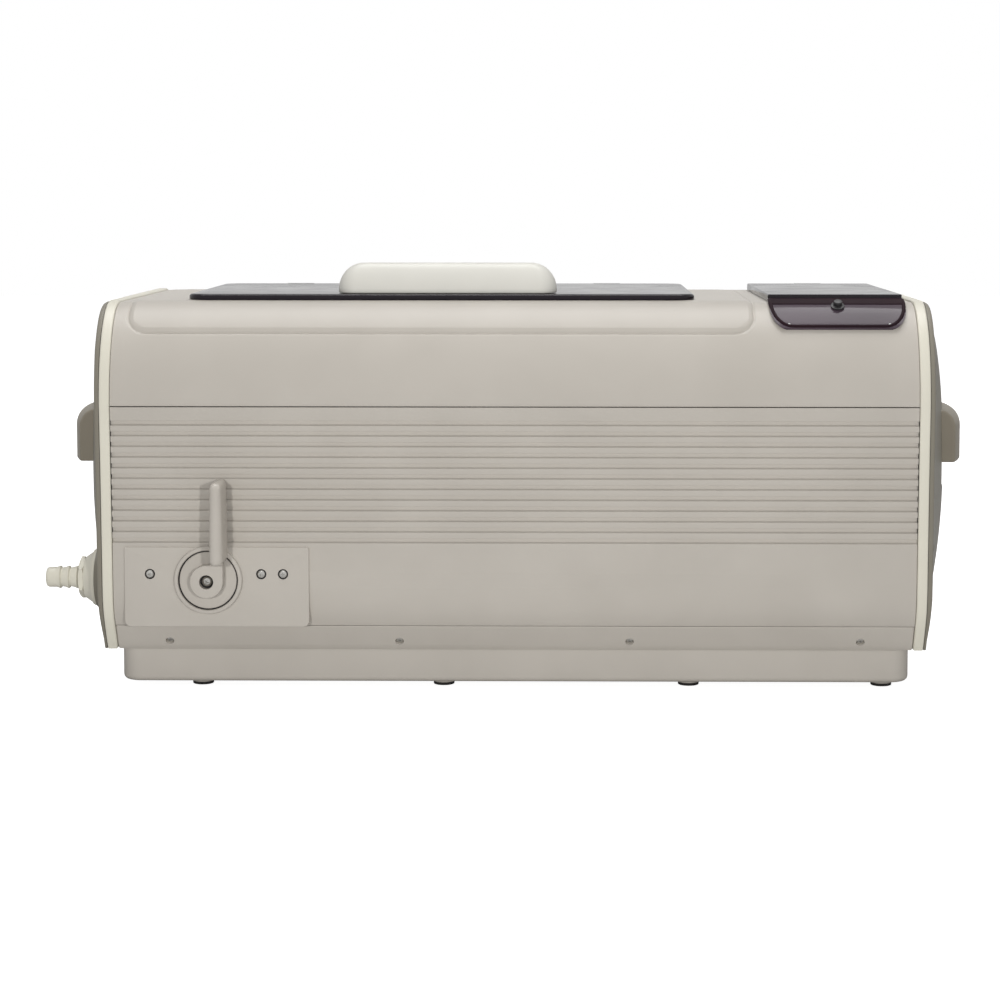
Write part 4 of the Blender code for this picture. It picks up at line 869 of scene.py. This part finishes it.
def make_grip(side, name):
    """Cup-shaped hand grip: a hood, open downwards, over a finger well."""
    low, high = case_box(f"carry_handle_{name}")
    outer_x, back_x = max(abs(low.x), abs(high.x)), min(abs(low.x), abs(high.x))
    top, bottom, lip, wall = high.z, low.z, 146.8, 2.6
    arcs = turns(7.5, 13)

    def outline(bow):
        front = outer_x - bow
        quarter = [(front - 12.0 + 12.0 * math.sin(a), top - 13.0 + 13.0 * math.cos(a)) for a in arcs]
        return ([(back_x, bottom), (back_x, top)] + quarter
                + [(front, lip + 1.0), (front - 0.6, lip + 0.2), (front - 1.6, lip), (front - 12.5, lip),
                   (front - 13.5, bottom)])

    def room(bow):
        front = outer_x - bow
        hood = [(front - 12.0 + 9.4 * math.sin(a), top - 13.0 + 10.4 * math.cos(a)) for a in arcs]
        return ([(back_x + wall, bottom + wall), (back_x + wall, top - wall)] + hood
                + [(front - wall, bottom + wall)])

    grip = ease(bowed(outline, GRIP_HALF_Y), 1.8, 4, 50)
    carve(grip, bowed(room, GRIP_HALF_Y - wall))
    if side < 0:
        reflect(grip)
    piece(grip, f"hand_grip_{name}", "casing", GRIP_ABS, [f"carry_handle_{name}"], 40)


# ------------------------------------------------------------------ tank, lid and hinges
def make_tank():
    """Deep-drawn bath with a rolled flange, and the drain fitting in its floor."""
    x, y = TANK_HALF
    out_x, out_y = x + TANK_SHEET, y + TANK_SHEET
    flange = 262.8
    low_arc = [(9.0 * (1 - math.sin(a)), 8.5 * (1 - math.cos(a))) for a in turns(15, 7)]
    rings = [(out_x - 9.0 + 9.0 * math.sin(a), out_y - 9.0 + 9.0 * math.sin(a), 12.0 + 2.0 * math.sin(a),
              TANK_FLOOR - TANK_SHEET + 9.2 * (1 - math.cos(a))) for a in turns(15, 7)]
    rings += [(out_x, out_y, TANK_CORNER, flange - 0.8), (out_x + 0.8, out_y + 0.8, TANK_CORNER + 0.5, flange),
              (out_x + 6.2, out_y + 6.2, 18.0, flange), (out_x + 6.5, out_y + 6.5, 18.0, flange + 0.35),
              (out_x + 6.2, out_y + 6.2, 18.0, flange + 0.7), (x + 1.0, y + 1.0, TANK_CORNER, flange + 0.7),
              (x + 0.3, y + 0.3, TANK_CORNER - 0.5, flange + 0.4), (x, y, TANK_CORNER - 1.0, flange - 0.4)]
    rings += [(x - inset, y - inset, 13.0 - inset / 5, TANK_FLOOR + rise) for inset, rise in reversed(low_arc)]
    tank = pillow(TANK_MIDDLE, rings, 10)
    carve(tank, rod(8.3, (10.0, -10.0), (*DRAIN, TANK_FLOOR), UP))
    piece(tank, "bath", "casing", TANK_STEEL, ["tank"], 40)

    top, low = TANK_FLOOR + 2.2, TANK_FLOOR - TANK_SHEET
    fitting = [(12.4, top - 0.9), (13.0, TANK_FLOOR + 0.9), (13.0, TANK_FLOOR + GAP), (8.0, TANK_FLOOR + GAP),
               (8.0, low - GAP), (12.0, low - GAP), (12.0, low - 5.0), (4.6, low - 5.0), (4.6, low - 10.0),
               (3.4, low - 10.0), (3.4, top - 1.4), (9.0, top - 0.3), (11.2, top)]
    piece(lathe(fitting, (*DRAIN, 0), UP, 40), "drain_fitting", "casing",
          SCREW_STEEL, ["tank_drain_fitting"])


def make_lid():
    """Smoked plate, turned down at its edges, over the bath's flange."""
    low = LID_LOW
    middle, half = plan(LID_LOW, LID_HIGH)
    rings = [(half[0] - 0.3, half[1] - 0.3, 13.7, low.z), (half[0], half[1], 14.0, low.z + 0.3),
             (half[0], half[1], 14.0, LID_TOP - 2.0)]
    for a in turns(11.25, 8, 11.25):
        inset = 2.4 * (1 - math.cos(a))
        rings.append((half[0] - inset, half[1] - inset, 14.0 - inset, LID_TOP - 2.0 + 2.0 * math.sin(a)))
    lid = pillow(middle, rings, 12)
    recess_y = (LID_Y[0] + 3.2, LID_Y[1] - 9.0)
    recess = (half[0] - 3.2, (recess_y[1] - recess_y[0]) / 2, 11.5)
    roof = LID_TOP - 1.9
    carve(lid, pillow((middle[0], sum(recess_y) / 2), [(*recess, low.z - 5.0), (*recess, roof - 0.5),
                                                       (recess[0] - 0.5, recess[1] - 0.5, 11.0, roof)], 12))
    pin_low, pin_high = case_box("lid_hinge_pin")
    for number in (1, 2):
        hinge_low, hinge_high = case_box(f"lid_hinge_{number}")
        carve(lid, slab((hinge_low.x - GAP, HINGE_Y - 2.9, 255.0), (hinge_high.x + GAP, HINGE_Y + 9.0, 275.0)))
        make_hinge(f"lid_hinge_{number}", f"lid_hinge_leaf_{number}")
    carve(lid, hinge_line(PIN_BORE, pin_low.x - GAP, pin_high.x + GAP, segments=24))
    piece(lid, "smoked_lid", "lid", LID_ACRYLIC, ["tank_lid"], 35)
    make_pin("lid_hinge_pin", "lid_pin")


def hinge_line(radius, low_x, high_x, **shape):
    """A rod along the hinges' common axis."""
    return rod(radius, (low_x, high_x), (0, HINGE_Y, HINGE_Z), RIGHT, **shape)


def make_hinge(node, name):
    """Fixed hinge leaf with a rolled knuckle and two countersunk screws."""
    low, high = case_box(node)
    middle = (low.x + high.x) / 2
    leaf_top = 262.1
    leaf = ease(slab((low.x, HINGE_Y - 0.5, low.z), (high.x, high.y, leaf_top)), 0.35, 2)
    weld(leaf, hinge_line(2.1, low.x, high.x, edge=0.2, segments=32))
    carve(leaf, hinge_line(PIN_BORE, low.x - 5.0, high.x + 5.0, segments=24))
    piece(leaf, name, "casing", HINGE_STEEL, [node])
    screws = [pan_screw((middle + dx, HINGE_Y + 6.0, leaf_top), UP, 1.9, 0.8, 30 + dx * 9) for dx in (-5.5, 5.5)]
    piece(gather(*screws), f"{name}_screws", "casing", SCREW_STEEL)


def make_pin(node, name):
    low, high = case_box(node)
    piece(hinge_line(0.9, low.x, high.x, edge=0.2, segments=24), name, "casing",
          SCREW_STEEL, [node])


def make_lid_handle():
    """Solid pill-shaped handle with soft ends."""
    low, high = case_box("lid_handle")
    middle, (half_x, half_y) = plan(low, high)
    rise = high.z - low.z
    rings = [(half_x - 1.2, half_y - 1.2, half_y - 1.3, low.z), (half_x - 0.4, half_y - 0.4, half_y - 0.5, low.z + 0.3),
             (half_x, half_y, half_y - 0.1, low.z + 1.4)]
    for a in turns(6, 15, 6):
        over = 1 - math.cos(a)
        rings.append((half_x - 17.0 * over, half_y - 9.0 * over, half_y - 0.1 - 9.0 * over,
                      high.z - (rise - 1.9) * (1 - math.sin(a))))
    handle = pillow(middle, rings, 12)
    piece(handle, "lid_pull", "lid", LID_ABS, ["lid_handle"], 50)


# ------------------------------------------------------------------ control panel
def make_cover():
    """Smoked plate over the controls with a formed lip that follows the shoulder down."""
    middle_x, half_x = (COVER_X[0] + COVER_X[1]) / 2, (COVER_X[1] - COVER_X[0]) / 2
    middle_y, half_y = (LID_Y[0] + LID_Y[1]) / 2, (LID_Y[1] - LID_Y[0]) / 2
    bottom = DECK + GAP
    start = shoulder_angle(COVER_FRONT_Z)
    over, under = shoulder_line(start, -LIP_TOP, 20), shoulder_line(start, -LIP_UNDER, 20)
    section = over + [(over[-1][0] + 5.0, over[-1][1]), (under[-1][0] + 5.0, under[-1][1])] + list(reversed(under))
    lip = prism(section, COVER_X, "X", 0.5, 2)
    corner = LIP_CORNER
    for side, edge in ((-1, COVER_X[0]), (1, COVER_X[1])):
        curve = [(edge - side * corner * (1 - math.sin(a)), COVER_FRONT_Z - 0.4 + corner * (1 - math.cos(a)))
                 for a in turns(9, 11)]
        outline = curve + [(edge + side * 5.0, COVER_FRONT_Z + corner), (edge + side * 5.0, 230.0),
                           (edge - side * corner, 230.0)]
        carve(lip, prism(outline, (-HALF_Y - 5.0, 30.0 - HALF_Y), "Y"))
    plate_rings = [(half_x - 0.2, half_y, 3.0, bottom), (half_x - 0.2, half_y, 3.0, LID_TOP - 0.9)]
    for a in turns(18, 5, 18):
        inset = 0.9 * (1 - math.cos(a))
        plate_rings.append((half_x - 0.2 - inset, half_y - inset, 3.0 - inset, LID_TOP - 0.9 + 0.9 * math.sin(a)))
    plate = pillow((middle_x, middle_y), plate_rings, 8)
    recess_y = (LID_Y[0] + 8.0, LID_Y[1] - 9.0)
    recess = (half_x - 2.5, (recess_y[1] - recess_y[0]) / 2, 3.0)
    carve(plate, pillow((middle_x, sum(recess_y) / 2), [(*recess, bottom - 5.0), (*recess, LID_TOP - 1.9)]),
          slab((COVER_X[0] - 5.0, HINGE_Y - 0.5, bottom - 5.0), (COVER_X[1] + 5.0, HINGE_Y + 9.0, 261.9)))
    hinge_low, hinge_high = case_box("cover_hinge")
    pin_low, pin_high = case_box("cover_hinge_pin")
    carve(plate, slab((hinge_low.x - GAP, HINGE_Y - 2.9, 255.0), (hinge_high.x + GAP, HINGE_Y + 9.0, 275.0)),
          hinge_line(PIN_BORE, pin_low.x - GAP, pin_high.x + GAP, segments=24))
    piece(plate, "control_cover", "cover", LID_ACRYLIC, ["panel_cover"], 35)
    piece(lip, "control_cover_lip", "cover", LIP_ACRYLIC, (), 35)
    path = [(COVER_X[0] + 0.9, DECK - 0.4 - (DECK - 0.4 - COVER_FRONT_Z - corner) * i / 10) for i in range(11)]
    path += [(COVER_X[0] + corner + (1.1 - corner) * math.cos(a), COVER_FRONT_Z + corner + (1.1 - corner) * math.sin(a))
             for a in turns(9, 10, 9)]
    path += [(COVER_X[0] + corner + (COVER_X[1] - COVER_X[0] - 2 * corner) * i / 12, COVER_FRONT_Z + 1.1)
             for i in range(1, 13)]
    path += [(COVER_X[0] + COVER_X[1] - x, z) for x, z in reversed(path[:21])]
    rim = []
    for x, z in path:
        angle = shoulder_angle(z)
        y, z = shoulder_point(angle, -1.95)
        rim.append((Vector((x, y, z)), shoulder_normal(angle)))
    sections = []
    for i, (here, out) in enumerate(rim):
        run = (rim[min(i + 1, len(rim) - 1)][0] - rim[max(i - 1, 0)][0]).normalized()
        flat = run.cross(out).normalized()
        sections.append([tuple(here + flat * 1.35 * math.cos(a) + out * 1.2 * math.sin(a))
                         for a in turns(30, 12)])
    piece(skin(sections), "lip_edge", "cover", EDGE_AND_SHADE_ACRYLIC)
    # Dark strip along the top of the lip, just under the deck: painted shade under the cover plate's front edge.
    heights = [DECK - 3.4 + 3.2 * i / 6 for i in range(7)]
    bar = [shoulder_point(shoulder_angle(z), -2.9) for z in heights]
    bar += [shoulder_point(shoulder_angle(z), -1.6) for z in reversed(heights)]
    piece(prism(bar, (COVER_X[0] + 0.6, COVER_X[1] - 0.6), "X", 0.3, 2), "cover_front_shade_strip", "cover",
          EDGE_AND_SHADE_ACRYLIC)
    # Two small light-grey domes on the lip's lower corners.
    dot = shoulder_point(shoulder_angle(COVER_FRONT_Z + 2.0), -2.3)
    dots = [rod(0.9, (-0.4, 0.7), (x, *dot), (0, -0.85, 0.53), 0.3, 16)
            for x in (COVER_X[0] + 12.0, COVER_X[1] - 12.0)]
    piece(gather(*dots), "lip_corner_dots", "cover", KEY_PC)
    make_hinge("cover_hinge", "cover_hinge_leaf")
    make_pin("cover_hinge_pin", "cover_pin")

    angle = math.radians(KNOB_ANGLE)
    seat = (middle_x, *shoulder_point(angle, -(LIP_TOP + GAP)))
    normal = shoulder_normal(angle)
    profile = [(0, 4.6), (1.8, 4.5), (2.5, 4.3), (2.9, 3.8), (3.0, 3.0), (2.9, 1.6), (3.2, 1.2), (4.2, 1.1),
               (4.6, 0.9), (4.6, 0.4), (0, 0.4)]
    piece(lathe(profile, seat, normal, 40), "cover_lift_knob", "cover", BLACK_NYLON, ["cover_knob"])


def make_controls():
    """Sunk charcoal plate with a display and three keys, each in its own ring."""
    low, high = case_box("control_plate")
    middle, half = plan(low, high)
    face = (half[0] - PLATE_RIM, half[1] - PLATE_RIM)
    under = low.z + 2.2
    rings = [(*half, 3.0, low.z), (*half, 3.0, under), (*face, 1.0, under), (*face, 1.0, high.z - 0.3),
             (half[0] - PLATE_RIM - 0.3, half[1] - PLATE_RIM - 0.3, 0.8, high.z)]
    plate = pillow(middle, rings, 4)
    screen_low, screen_high = case_box("display_window")
    carve(plate, slab((screen_low.x - GAP, screen_low.y - GAP, 240.0),
                      (screen_high.x + GAP, screen_high.y + GAP, 270.0)))
    for number in (1, 2, 3):
        key_low, key_high = case_box(f"button_{number}")
        (x, y), _ = plan(key_low, key_high)
        carve(plate, lathe([(0, 240.0), (6.3, 240.0), (6.3, high.z - 0.5), (6.9, high.z + 0.1), (6.9, 270.0),
                            (0, 270.0)], (x, y, 0), UP, 40))
        top = key_high.z
        profile = [(0, top - 0.35), (2.0, top - 0.3), (3.8, top - 0.12), (4.9, top), (5.5, top - 0.08),
                   (5.9, top - 0.4), (6.0, top - 0.9), (6.0, 255.0), (7.5, 255.0), (7.5, 253.6), (2.0, 253.6),
                   (2.0, 249.4), (0, 249.4)]
        piece(lathe(profile, (x, y, 0), UP, 40), f"key_{number}", f"button_{number}", KEY_PC,
              [f"button_{number}"])
    piece(plate, "control_face", "casing", CHARCOAL_PC, ["control_plate"])
    screen = slab(tuple(screen_low), tuple(screen_high), 0.4)
    piece(screen, "display_pane", "casing", LID_ACRYLIC, ["display_window"])


# ------------------------------------------------------------------ drain valve
def arc(centre, radius, start, end, steps):
    return [(centre[0] + radius * math.cos(math.radians(start + (end - start) * i / steps)),
             centre[1] + radius * math.sin(math.radians(start + (end - start) * i / steps)))
            for i in range(steps + 1)]


def make_valve():
    """Face plate with three screws, dial ring, lever with its hub, and the hub's screw."""
    low, high = case_box("valve_plate")
    bezel_low, bezel_high = case_box("valve_bezel")
    outline = rectangle(low.x, low.z, high.x, high.z)
    face = low.y
    plate = prism(rounded(outline, [5.0, 5.0, 1.5, 1.5], 6), (low.y, high.y), "Y", 0.7, 3)
    carve(plate, rod(5.0, (30.0, -30.0), (VALVE_X, face, VALVE_Z), FORWARD))
    screws, well_shades = [], []
    for x in VALVE_SCREW_XS:
        carve(plate, rod(3.45, (2.0, -1.1), (x, face, VALVE_SCREW_Z), FORWARD))
        screws.append(pan_screw((x, face + 0.9, VALVE_SCREW_Z), FORWARD, 2.6, 1.7, x * 2))
        # The dark rubber discs under the screw heads paint shade into each well's ring round the head.
        well_shades.append(rod(3.4, (-1.0, -0.55), (x, face, VALVE_SCREW_Z), FORWARD))
    piece(plate, "valve_face", "casing", GREY_ABS, ["valve_plate"])
    piece(gather(*screws), "valve_face_screws", "casing", SCREW_STEEL)
    piece(gather(*well_shades), "valve_screw_well_shades", "casing", SEAL_AND_SHADE_RUBBER)

    outer = (bezel_high.x - bezel_low.x) / 2
    dial, hub_hole = 19.5, 5.0
    front = face - bezel_low.y
    profile = [(hub_hole, 0.05), (outer, 0.05), (outer, front - 1.0), (outer - 0.5, front - 0.3), (outer - 1.2, front),
               (dial + 0.9, front), (dial + 0.5, front - 0.4), (dial + 0.4, 0.7), (dial - 0.5, 0.7),
               (dial - 0.6, 1.6), (dial - 1.0, 1.8), (hub_hole, 1.8)]
    ring = lathe(profile, (VALVE_X, face, VALVE_Z), FORWARD, 72)
    piece(ring, "dial_ring", "casing", GREY_ABS, ["valve_bezel"], 30)

    # Dark rubber ring sunk in the groove round the dial: painted shade in the gap between dial and bezel.
    gap_shade = lathe([(dial - 0.4, 0.75), (dial + 0.35, 0.75), (dial + 0.35, 1.1), (dial - 0.4, 1.1)],
                 (VALVE_X, face, VALVE_Z), FORWARD, 72)
    piece(gap_shade, "dial_gap_shade_ring", "casing", SEAL_AND_SHADE_RUBBER)

    lever_low, lever_high = case_box("valve_lever")
    hub_front = face - 11.0
    hub = [(VALVE_X + HUB_RADIUS, VALVE_Z + 12.4)] + arc((VALVE_X, VALVE_Z), HUB_RADIUS, 90, 360, 40)
    hub_solid = prism(hub, (hub_front, lever_high.y), "Y", 1.0, 4)
    fin_x, fin_half, fin_low, fin_high = -194.4, 4.4, 90.2, lever_high.z
    sections = []
    for step in range(33):
        z = fin_low + (fin_high - fin_low) * (1 - math.cos(math.pi * step / 32)) / 2
        near = min(z - fin_low, fin_high - z)
        inset = 4.2 - math.sqrt(4.2 ** 2 - (4.2 - min(near, 4.2)) ** 2)
        half = fin_half - 0.5 * (z - fin_low) / (fin_high - fin_low) - inset * 0.75
        half = max(half, 0.6)
        nose = [(fin_x - half * math.cos(a), lever_low.y + inset + half * (1 - math.sin(a)))
                for a in turns(15, 13)]
        sections.append([(x, y, z) for x, y in nose] + [(fin_x + half, face - 3.4, z), (fin_x - half, face - 3.4, z)])
    fin = skin(sections)
    neck_top, fin_foot = 96.0, face - 3.4
    neck = prism([(VALVE_X + 4.6, VALVE_Z), (VALVE_X + HUB_RADIUS, VALVE_Z), (VALVE_X + HUB_RADIUS, neck_top),
                  (VALVE_X + 5.5, neck_top)], (hub_front, fin_foot), "Y", 0.6, 2)
    lever = weld(hub_solid, fin, neck)
    carve(lever, lathe([(0, 2.0), (5.2, 2.0), (4.7, -0.1), (4.7, -6.0), (0, -6.0)],
                       (VALVE_X, hub_front, VALVE_Z), FORWARD, 40))
    piece(lever, "drain_lever", "lever", GREY_ABS, ["valve_lever"], 35)
    piece(pan_screw((VALVE_X, hub_front + 5.4, VALVE_Z), FORWARD, 3.4, 2.4, 12.0), "hub_screw", "lever",
          SCREW_STEEL, ["lever_screw"])
    piece(rod(4.65, (-6.0, -5.4), (VALVE_X, hub_front, VALVE_Z), FORWARD), "hub_washer", "lever",
          SEAL_AND_SHADE_RUBBER)


def make_spigot():
    """Flange, hexagon nut and barbed hose end on the left-hand end cap."""
    tip = -case_box("drain_spigot")[0].x
    out = LEFT
    base = SPIGOT_SEAT + GAP
    nut_low, nut_high = case_box("spigot_nut")
    nut_in, nut_out = -nut_high.x, -nut_low.x
    profile = [(3.9, tip - 0.3), (4.6, tip), (6.0, tip - 0.4), (6.7, tip - 1.3), (6.95, tip - 2.4), (6.95, tip - 6.6)]
    for ridge in (7.0, 12.9, 18.8):
        profile += [(6.9, tip - ridge), (7.65, tip - ridge - 2.0), (7.75, tip - ridge - 2.7), (7.3, tip - ridge - 3.2),
                    (6.5, tip - ridge - 3.6)]
    profile += [(6.5, nut_out - 0.2), (6.5, 285.5), (8.5, 285.5), (8.5, 263.5), (3.9, 263.5)]
    barb = lathe(profile, (0, SPIGOT_Y, SPIGOT_Z), out, 48)
    piece(barb, "hose_barb", "casing", CREAM_ABS, ["drain_spigot"], 40)
    flange = lathe([(9.0, base), (19.3, base), (19.3, base + 1.6), (18.8, base + 2.4), (17.6, base + 3.0),
                    (14.0, nut_in - 0.1), (9.0, nut_in - 0.1)], (0, SPIGOT_Y, SPIGOT_Z), out, 56)
    piece(flange, "spigot_flange", "casing", CREAM_ABS)
    across = 12.5 / math.cos(math.radians(30))
    hexagon = [(SPIGOT_Y + across * math.cos(math.radians(60 * i + 30)),
                SPIGOT_Z + across * math.sin(math.radians(60 * i + 30))) for i in range(6)]
    nut = prism(hexagon, (-nut_in, -nut_out), "X")
    combine(nut, lathe([(0, nut_in), (12.6, nut_in), (across + 0.3, nut_in + 0.9), (across + 0.3, nut_out - 1.0),
                        (12.3, nut_out), (0, nut_out)], (0, SPIGOT_Y, SPIGOT_Z), out, 60), "INTERSECT")
    carve(nut, rod(6.9, (nut_in - 5.0, nut_out + 5.0), (0, SPIGOT_Y, SPIGOT_Z), out))
    piece(nut, "hexagon_nut", "casing", CREAM_ABS, ["spigot_nut"])


# ------------------------------------------------------------------ rear fittings
def make_inlet():
    """Snap-in mains inlet with a keyed recess and three blades."""
    low, high = case_box("power_inlet")
    front = high.y
    flange = prism(rounded(rectangle(low.x, low.z, high.x, high.z), 3.0),
                   (SOCKET_FACE_Y + GAP, front), "Y", 0.8)
    x, z = INLET_X, SOCKET_Z
    body = slab((x - 13.6, SOCKET_FACE_Y - 18.0, z - 10.1), (x + 13.6, SOCKET_FACE_Y + 2.0, z + 10.1))
    shell = weld(flange, body)
    key = [(x - 12.2, z - 8.2), (x + 12.2, z - 8.2), (x + 12.2, z + 3.2), (x + 7.6, z + 8.2), (x - 7.6, z + 8.2),
           (x - 12.2, z + 3.2)]
    carve(shell, prism(rounded(key, 1.0), (SOCKET_FACE_Y - 14.0, front + 5.0), "Y"))
    piece(shell, "mains_inlet", "casing", BLACK_NYLON, ["power_inlet"])
    blades = [slab((x + dx - 1.0, SOCKET_FACE_Y - 14.5, z + dz - 2.0),
                   (x + dx + 1.0, SOCKET_FACE_Y - 0.5, z + dz + 2.0), 0.3)
              for dx, dz in ((-7.0, -2.0), (7.0, -2.0), (0.0, 2.0))]
    piece(gather(*blades), "inlet_blades", "casing", NICKEL_BRASS)


def make_switch():
    """Framed rocker switch."""
    low, high = case_box("switch_housing")
    x, z = SWITCH_X, SOCKET_Z
    flange = prism(rounded(rectangle(low.x, low.z, high.x, high.z), 1.5),
                   (SOCKET_FACE_Y + GAP, high.y), "Y", 0.6)
    body = slab((x - 6.8, SOCKET_FACE_Y - 14.0, z - 10.1), (x + 6.8, SOCKET_FACE_Y + 1.0, z + 10.1))
    shell = weld(flange, body)
    carve(shell, slab((x - 5.6, SOCKET_FACE_Y - 6.0, z - 9.4), (x + 5.6, SOCKET_FACE_Y + 6.0, z + 9.4)))
    piece(shell, "switch_frame", "casing", BLACK_NYLON, ["switch_housing"])
    axis = SOCKET_FACE_Y + 0.5
    outline = [(axis - 4.0, z - 4.0), (axis - 4.0, z + 4.0), (axis + 0.6, z + 8.3), (axis + 3.6, z + 8.3),
               (axis + 2.1, z + 4.0), (axis + 1.6, z), (axis + 2.1, z - 4.0), (axis + 3.6, z - 8.3),
               (axis + 0.6, z - 8.3)]
    rocker = prism(rounded(outline, [1, 1, 0.5, 0.6, 2.5, 3, 2.5, 0.6, 0.5]), (x - 5.2, x + 5.2), "X", 0.4)
    turn = Matrix.Rotation(math.radians(-7.0), 4, "X")
    rocker.data.transform(Matrix.Translation((x, axis, z)) @ turn @ Matrix.Translation((-x, -axis, -z)))
    piece(rocker, "power_rocker", "rocker", ROCKER_PC, ["switch_rocker"])


def make_fan_screws():
    """Four screws that hold the fan behind its grille."""
    screws = []
    for dx in (-1, 1):
        for dz in (-1, 1):
            x, z = FAN_X + dx * FAN_SCREW, FAN_Z + dz * FAN_SCREW
            y = HALF_Y - side_depth(z)
            screws.append(pan_screw((x, y, z), BACK, 2.9, 1.0, 40 + dx * 15 + dz * 30))
    piece(gather(*screws), "fan_screws", "casing", SCREW_STEEL)


make_upper_shell()
make_ribbed_front()
make_rear_panel()
make_base()
make_feet()
for side, name in ((-1, "left"), (1, "right")):
    make_ring(name)
    make_end_cap(side, name)
    make_grip(side, name)
make_tank()
make_lid()
make_lid_handle()
make_cover()
make_controls()
make_valve()
make_spigot()
make_inlet()
make_switch()
make_fan_screws()

# ------------------------------------------------------------------ CAD nodes that keep their shape
KEPT = {
    "tank_gasket": (SEAL_AND_SHADE_RUBBER, 0.2), "heater_pad": (HEATER_SILICONE, 0.3),
    "drain_hose": (HOSE_RUBBER, 0.0), "outlet_hose": (HOSE_RUBBER, 0.0),
    "valve_body": (NICKEL_BRASS, 0.3), "valve_ball": (HINGE_STEEL, 0.0),
    "fan_frame": (BLACK_NYLON, 0.4), "fan_rotor": (BLACK_NYLON, 0.2),
    "driver_board": (GREEN_BOARD, 0.1), "control_board": (GREEN_BOARD, 0.1),
    "heat_sink": (CAST_METAL, 0.3), "transformer": (CORE_IRON, 0.5),
    "transducer_1": (CAST_METAL, 0.4), "transducer_2": (CAST_METAL, 0.4),
    "transducer_3": (CAST_METAL, 0.4), "transducer_4": (CAST_METAL, 0.4),
}
for node, (material, edge) in KEPT.items():
    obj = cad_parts[node]
    dress(obj, material, 35)
    if edge:
        add_bevel(obj, edge * MM, 2, 40)

# ------------------------------------------------------------------ table, light and camera
ground = bmesh.new()
bmesh.ops.create_grid(ground, x_segments=2, y_segments=2, size=6.0)
table = place_object(ground, "table")
laminate, laminate_tree, laminate_shader = new_material("white_laminate", {
    "Roughness": 0.6, "IOR": 1.5, "Emission Color": (1.0, 1.0, 1.0, 1.0)})
seen = add(laminate_tree, "LightPath")
glow = add(laminate_tree, "MapRange", {"Value": seen.outputs["Is Camera Ray"], "To Min": 0.0, "To Max": 0.9})
laminate_tree.links.new(glow.outputs["Result"], laminate_shader.inputs["Emission Strength"])
speckle = add(laminate_tree, "TexNoise", {"Vector": add(laminate_tree, "TexCoord").outputs["Object"],
                                          "Scale": per(30), "Detail": 2.0})
tint(laminate_tree, laminate_shader, speckle.outputs["Fac"], "#C6C6C6", "#C8C8C8")
table.data.materials.append(laminate)

world = bpy.data.worlds.new("studio")
bpy.context.scene.world = world
world.use_nodes = True
backdrop = world.node_tree.nodes["Background"]
backdrop.inputs["Color"].default_value = (1.0, 1.0, 1.0, 1.0)
ray = add(world.node_tree, "LightPath")
indirect = add(world.node_tree, "MapRange", {"Value": ray.outputs["Is Glossy Ray"], "To Min": 0.2, "To Max": 0.72})
direct = add(world.node_tree, "MapRange", {"Value": ray.outputs["Is Camera Ray"], "To Max": 1.0,
                                           "To Min": indirect.outputs["Result"]})
world.node_tree.links.new(direct.outputs["Result"], backdrop.inputs["Strength"])
bpy.context.scene.view_settings.view_transform = "Standard"

SOFTBOXES = (                   # name, place, aim, size, watts
    ("left_softbox", (-0.40, -1.93, 0.38), (-0.03, 0, 0.13), (0.05, 0.05), 10.4),
    ("right_softbox", (0.46, -1.93, 0.38), (0.03, 0, 0.13), (0.05, 0.05), 10.8),
    ("rear_fill", (0.3, 2.2, 1.0), (0, 0, 0.13), (1.6, 1.0), 14.0),
    ("top_softbox", (0.0, 0.1, 2.0), (0, 0, 0.1), (2.0, 1.2), 27.0),
)
for name, place, aim, size, watts in SOFTBOXES:
    # Only the top lamp shows in glossy surfaces; the small ones would leave spots.
    lamp = bpy.data.lights.new(name, "AREA")
    lamp.shape = "RECTANGLE"
    lamp.size, lamp.size_y = size
    lamp.energy = watts
    holder = bpy.data.objects.new(name, lamp)
    holder.location = place
    holder.visible_glossy = name == "top_softbox"
    holder.rotation_euler = (Vector(aim) - Vector(place)).to_track_quat("-Z", "Y").to_euler()
    bpy.context.scene.collection.objects.link(holder)

camera = bpy.data.objects.new("camera", bpy.data.cameras.new("camera"))
camera.location = (0.0367, -1.7540, 0.3361)
camera.rotation_euler = (math.radians(85.59), 0, math.radians(0.812))
camera.data.lens = 88.92
camera.data.shift_x = -0.03
camera.data.shift_y = -0.12
bpy.context.scene.collection.objects.link(camera)
bpy.context.scene.camera = camera

bpy.context.view_layer.update()
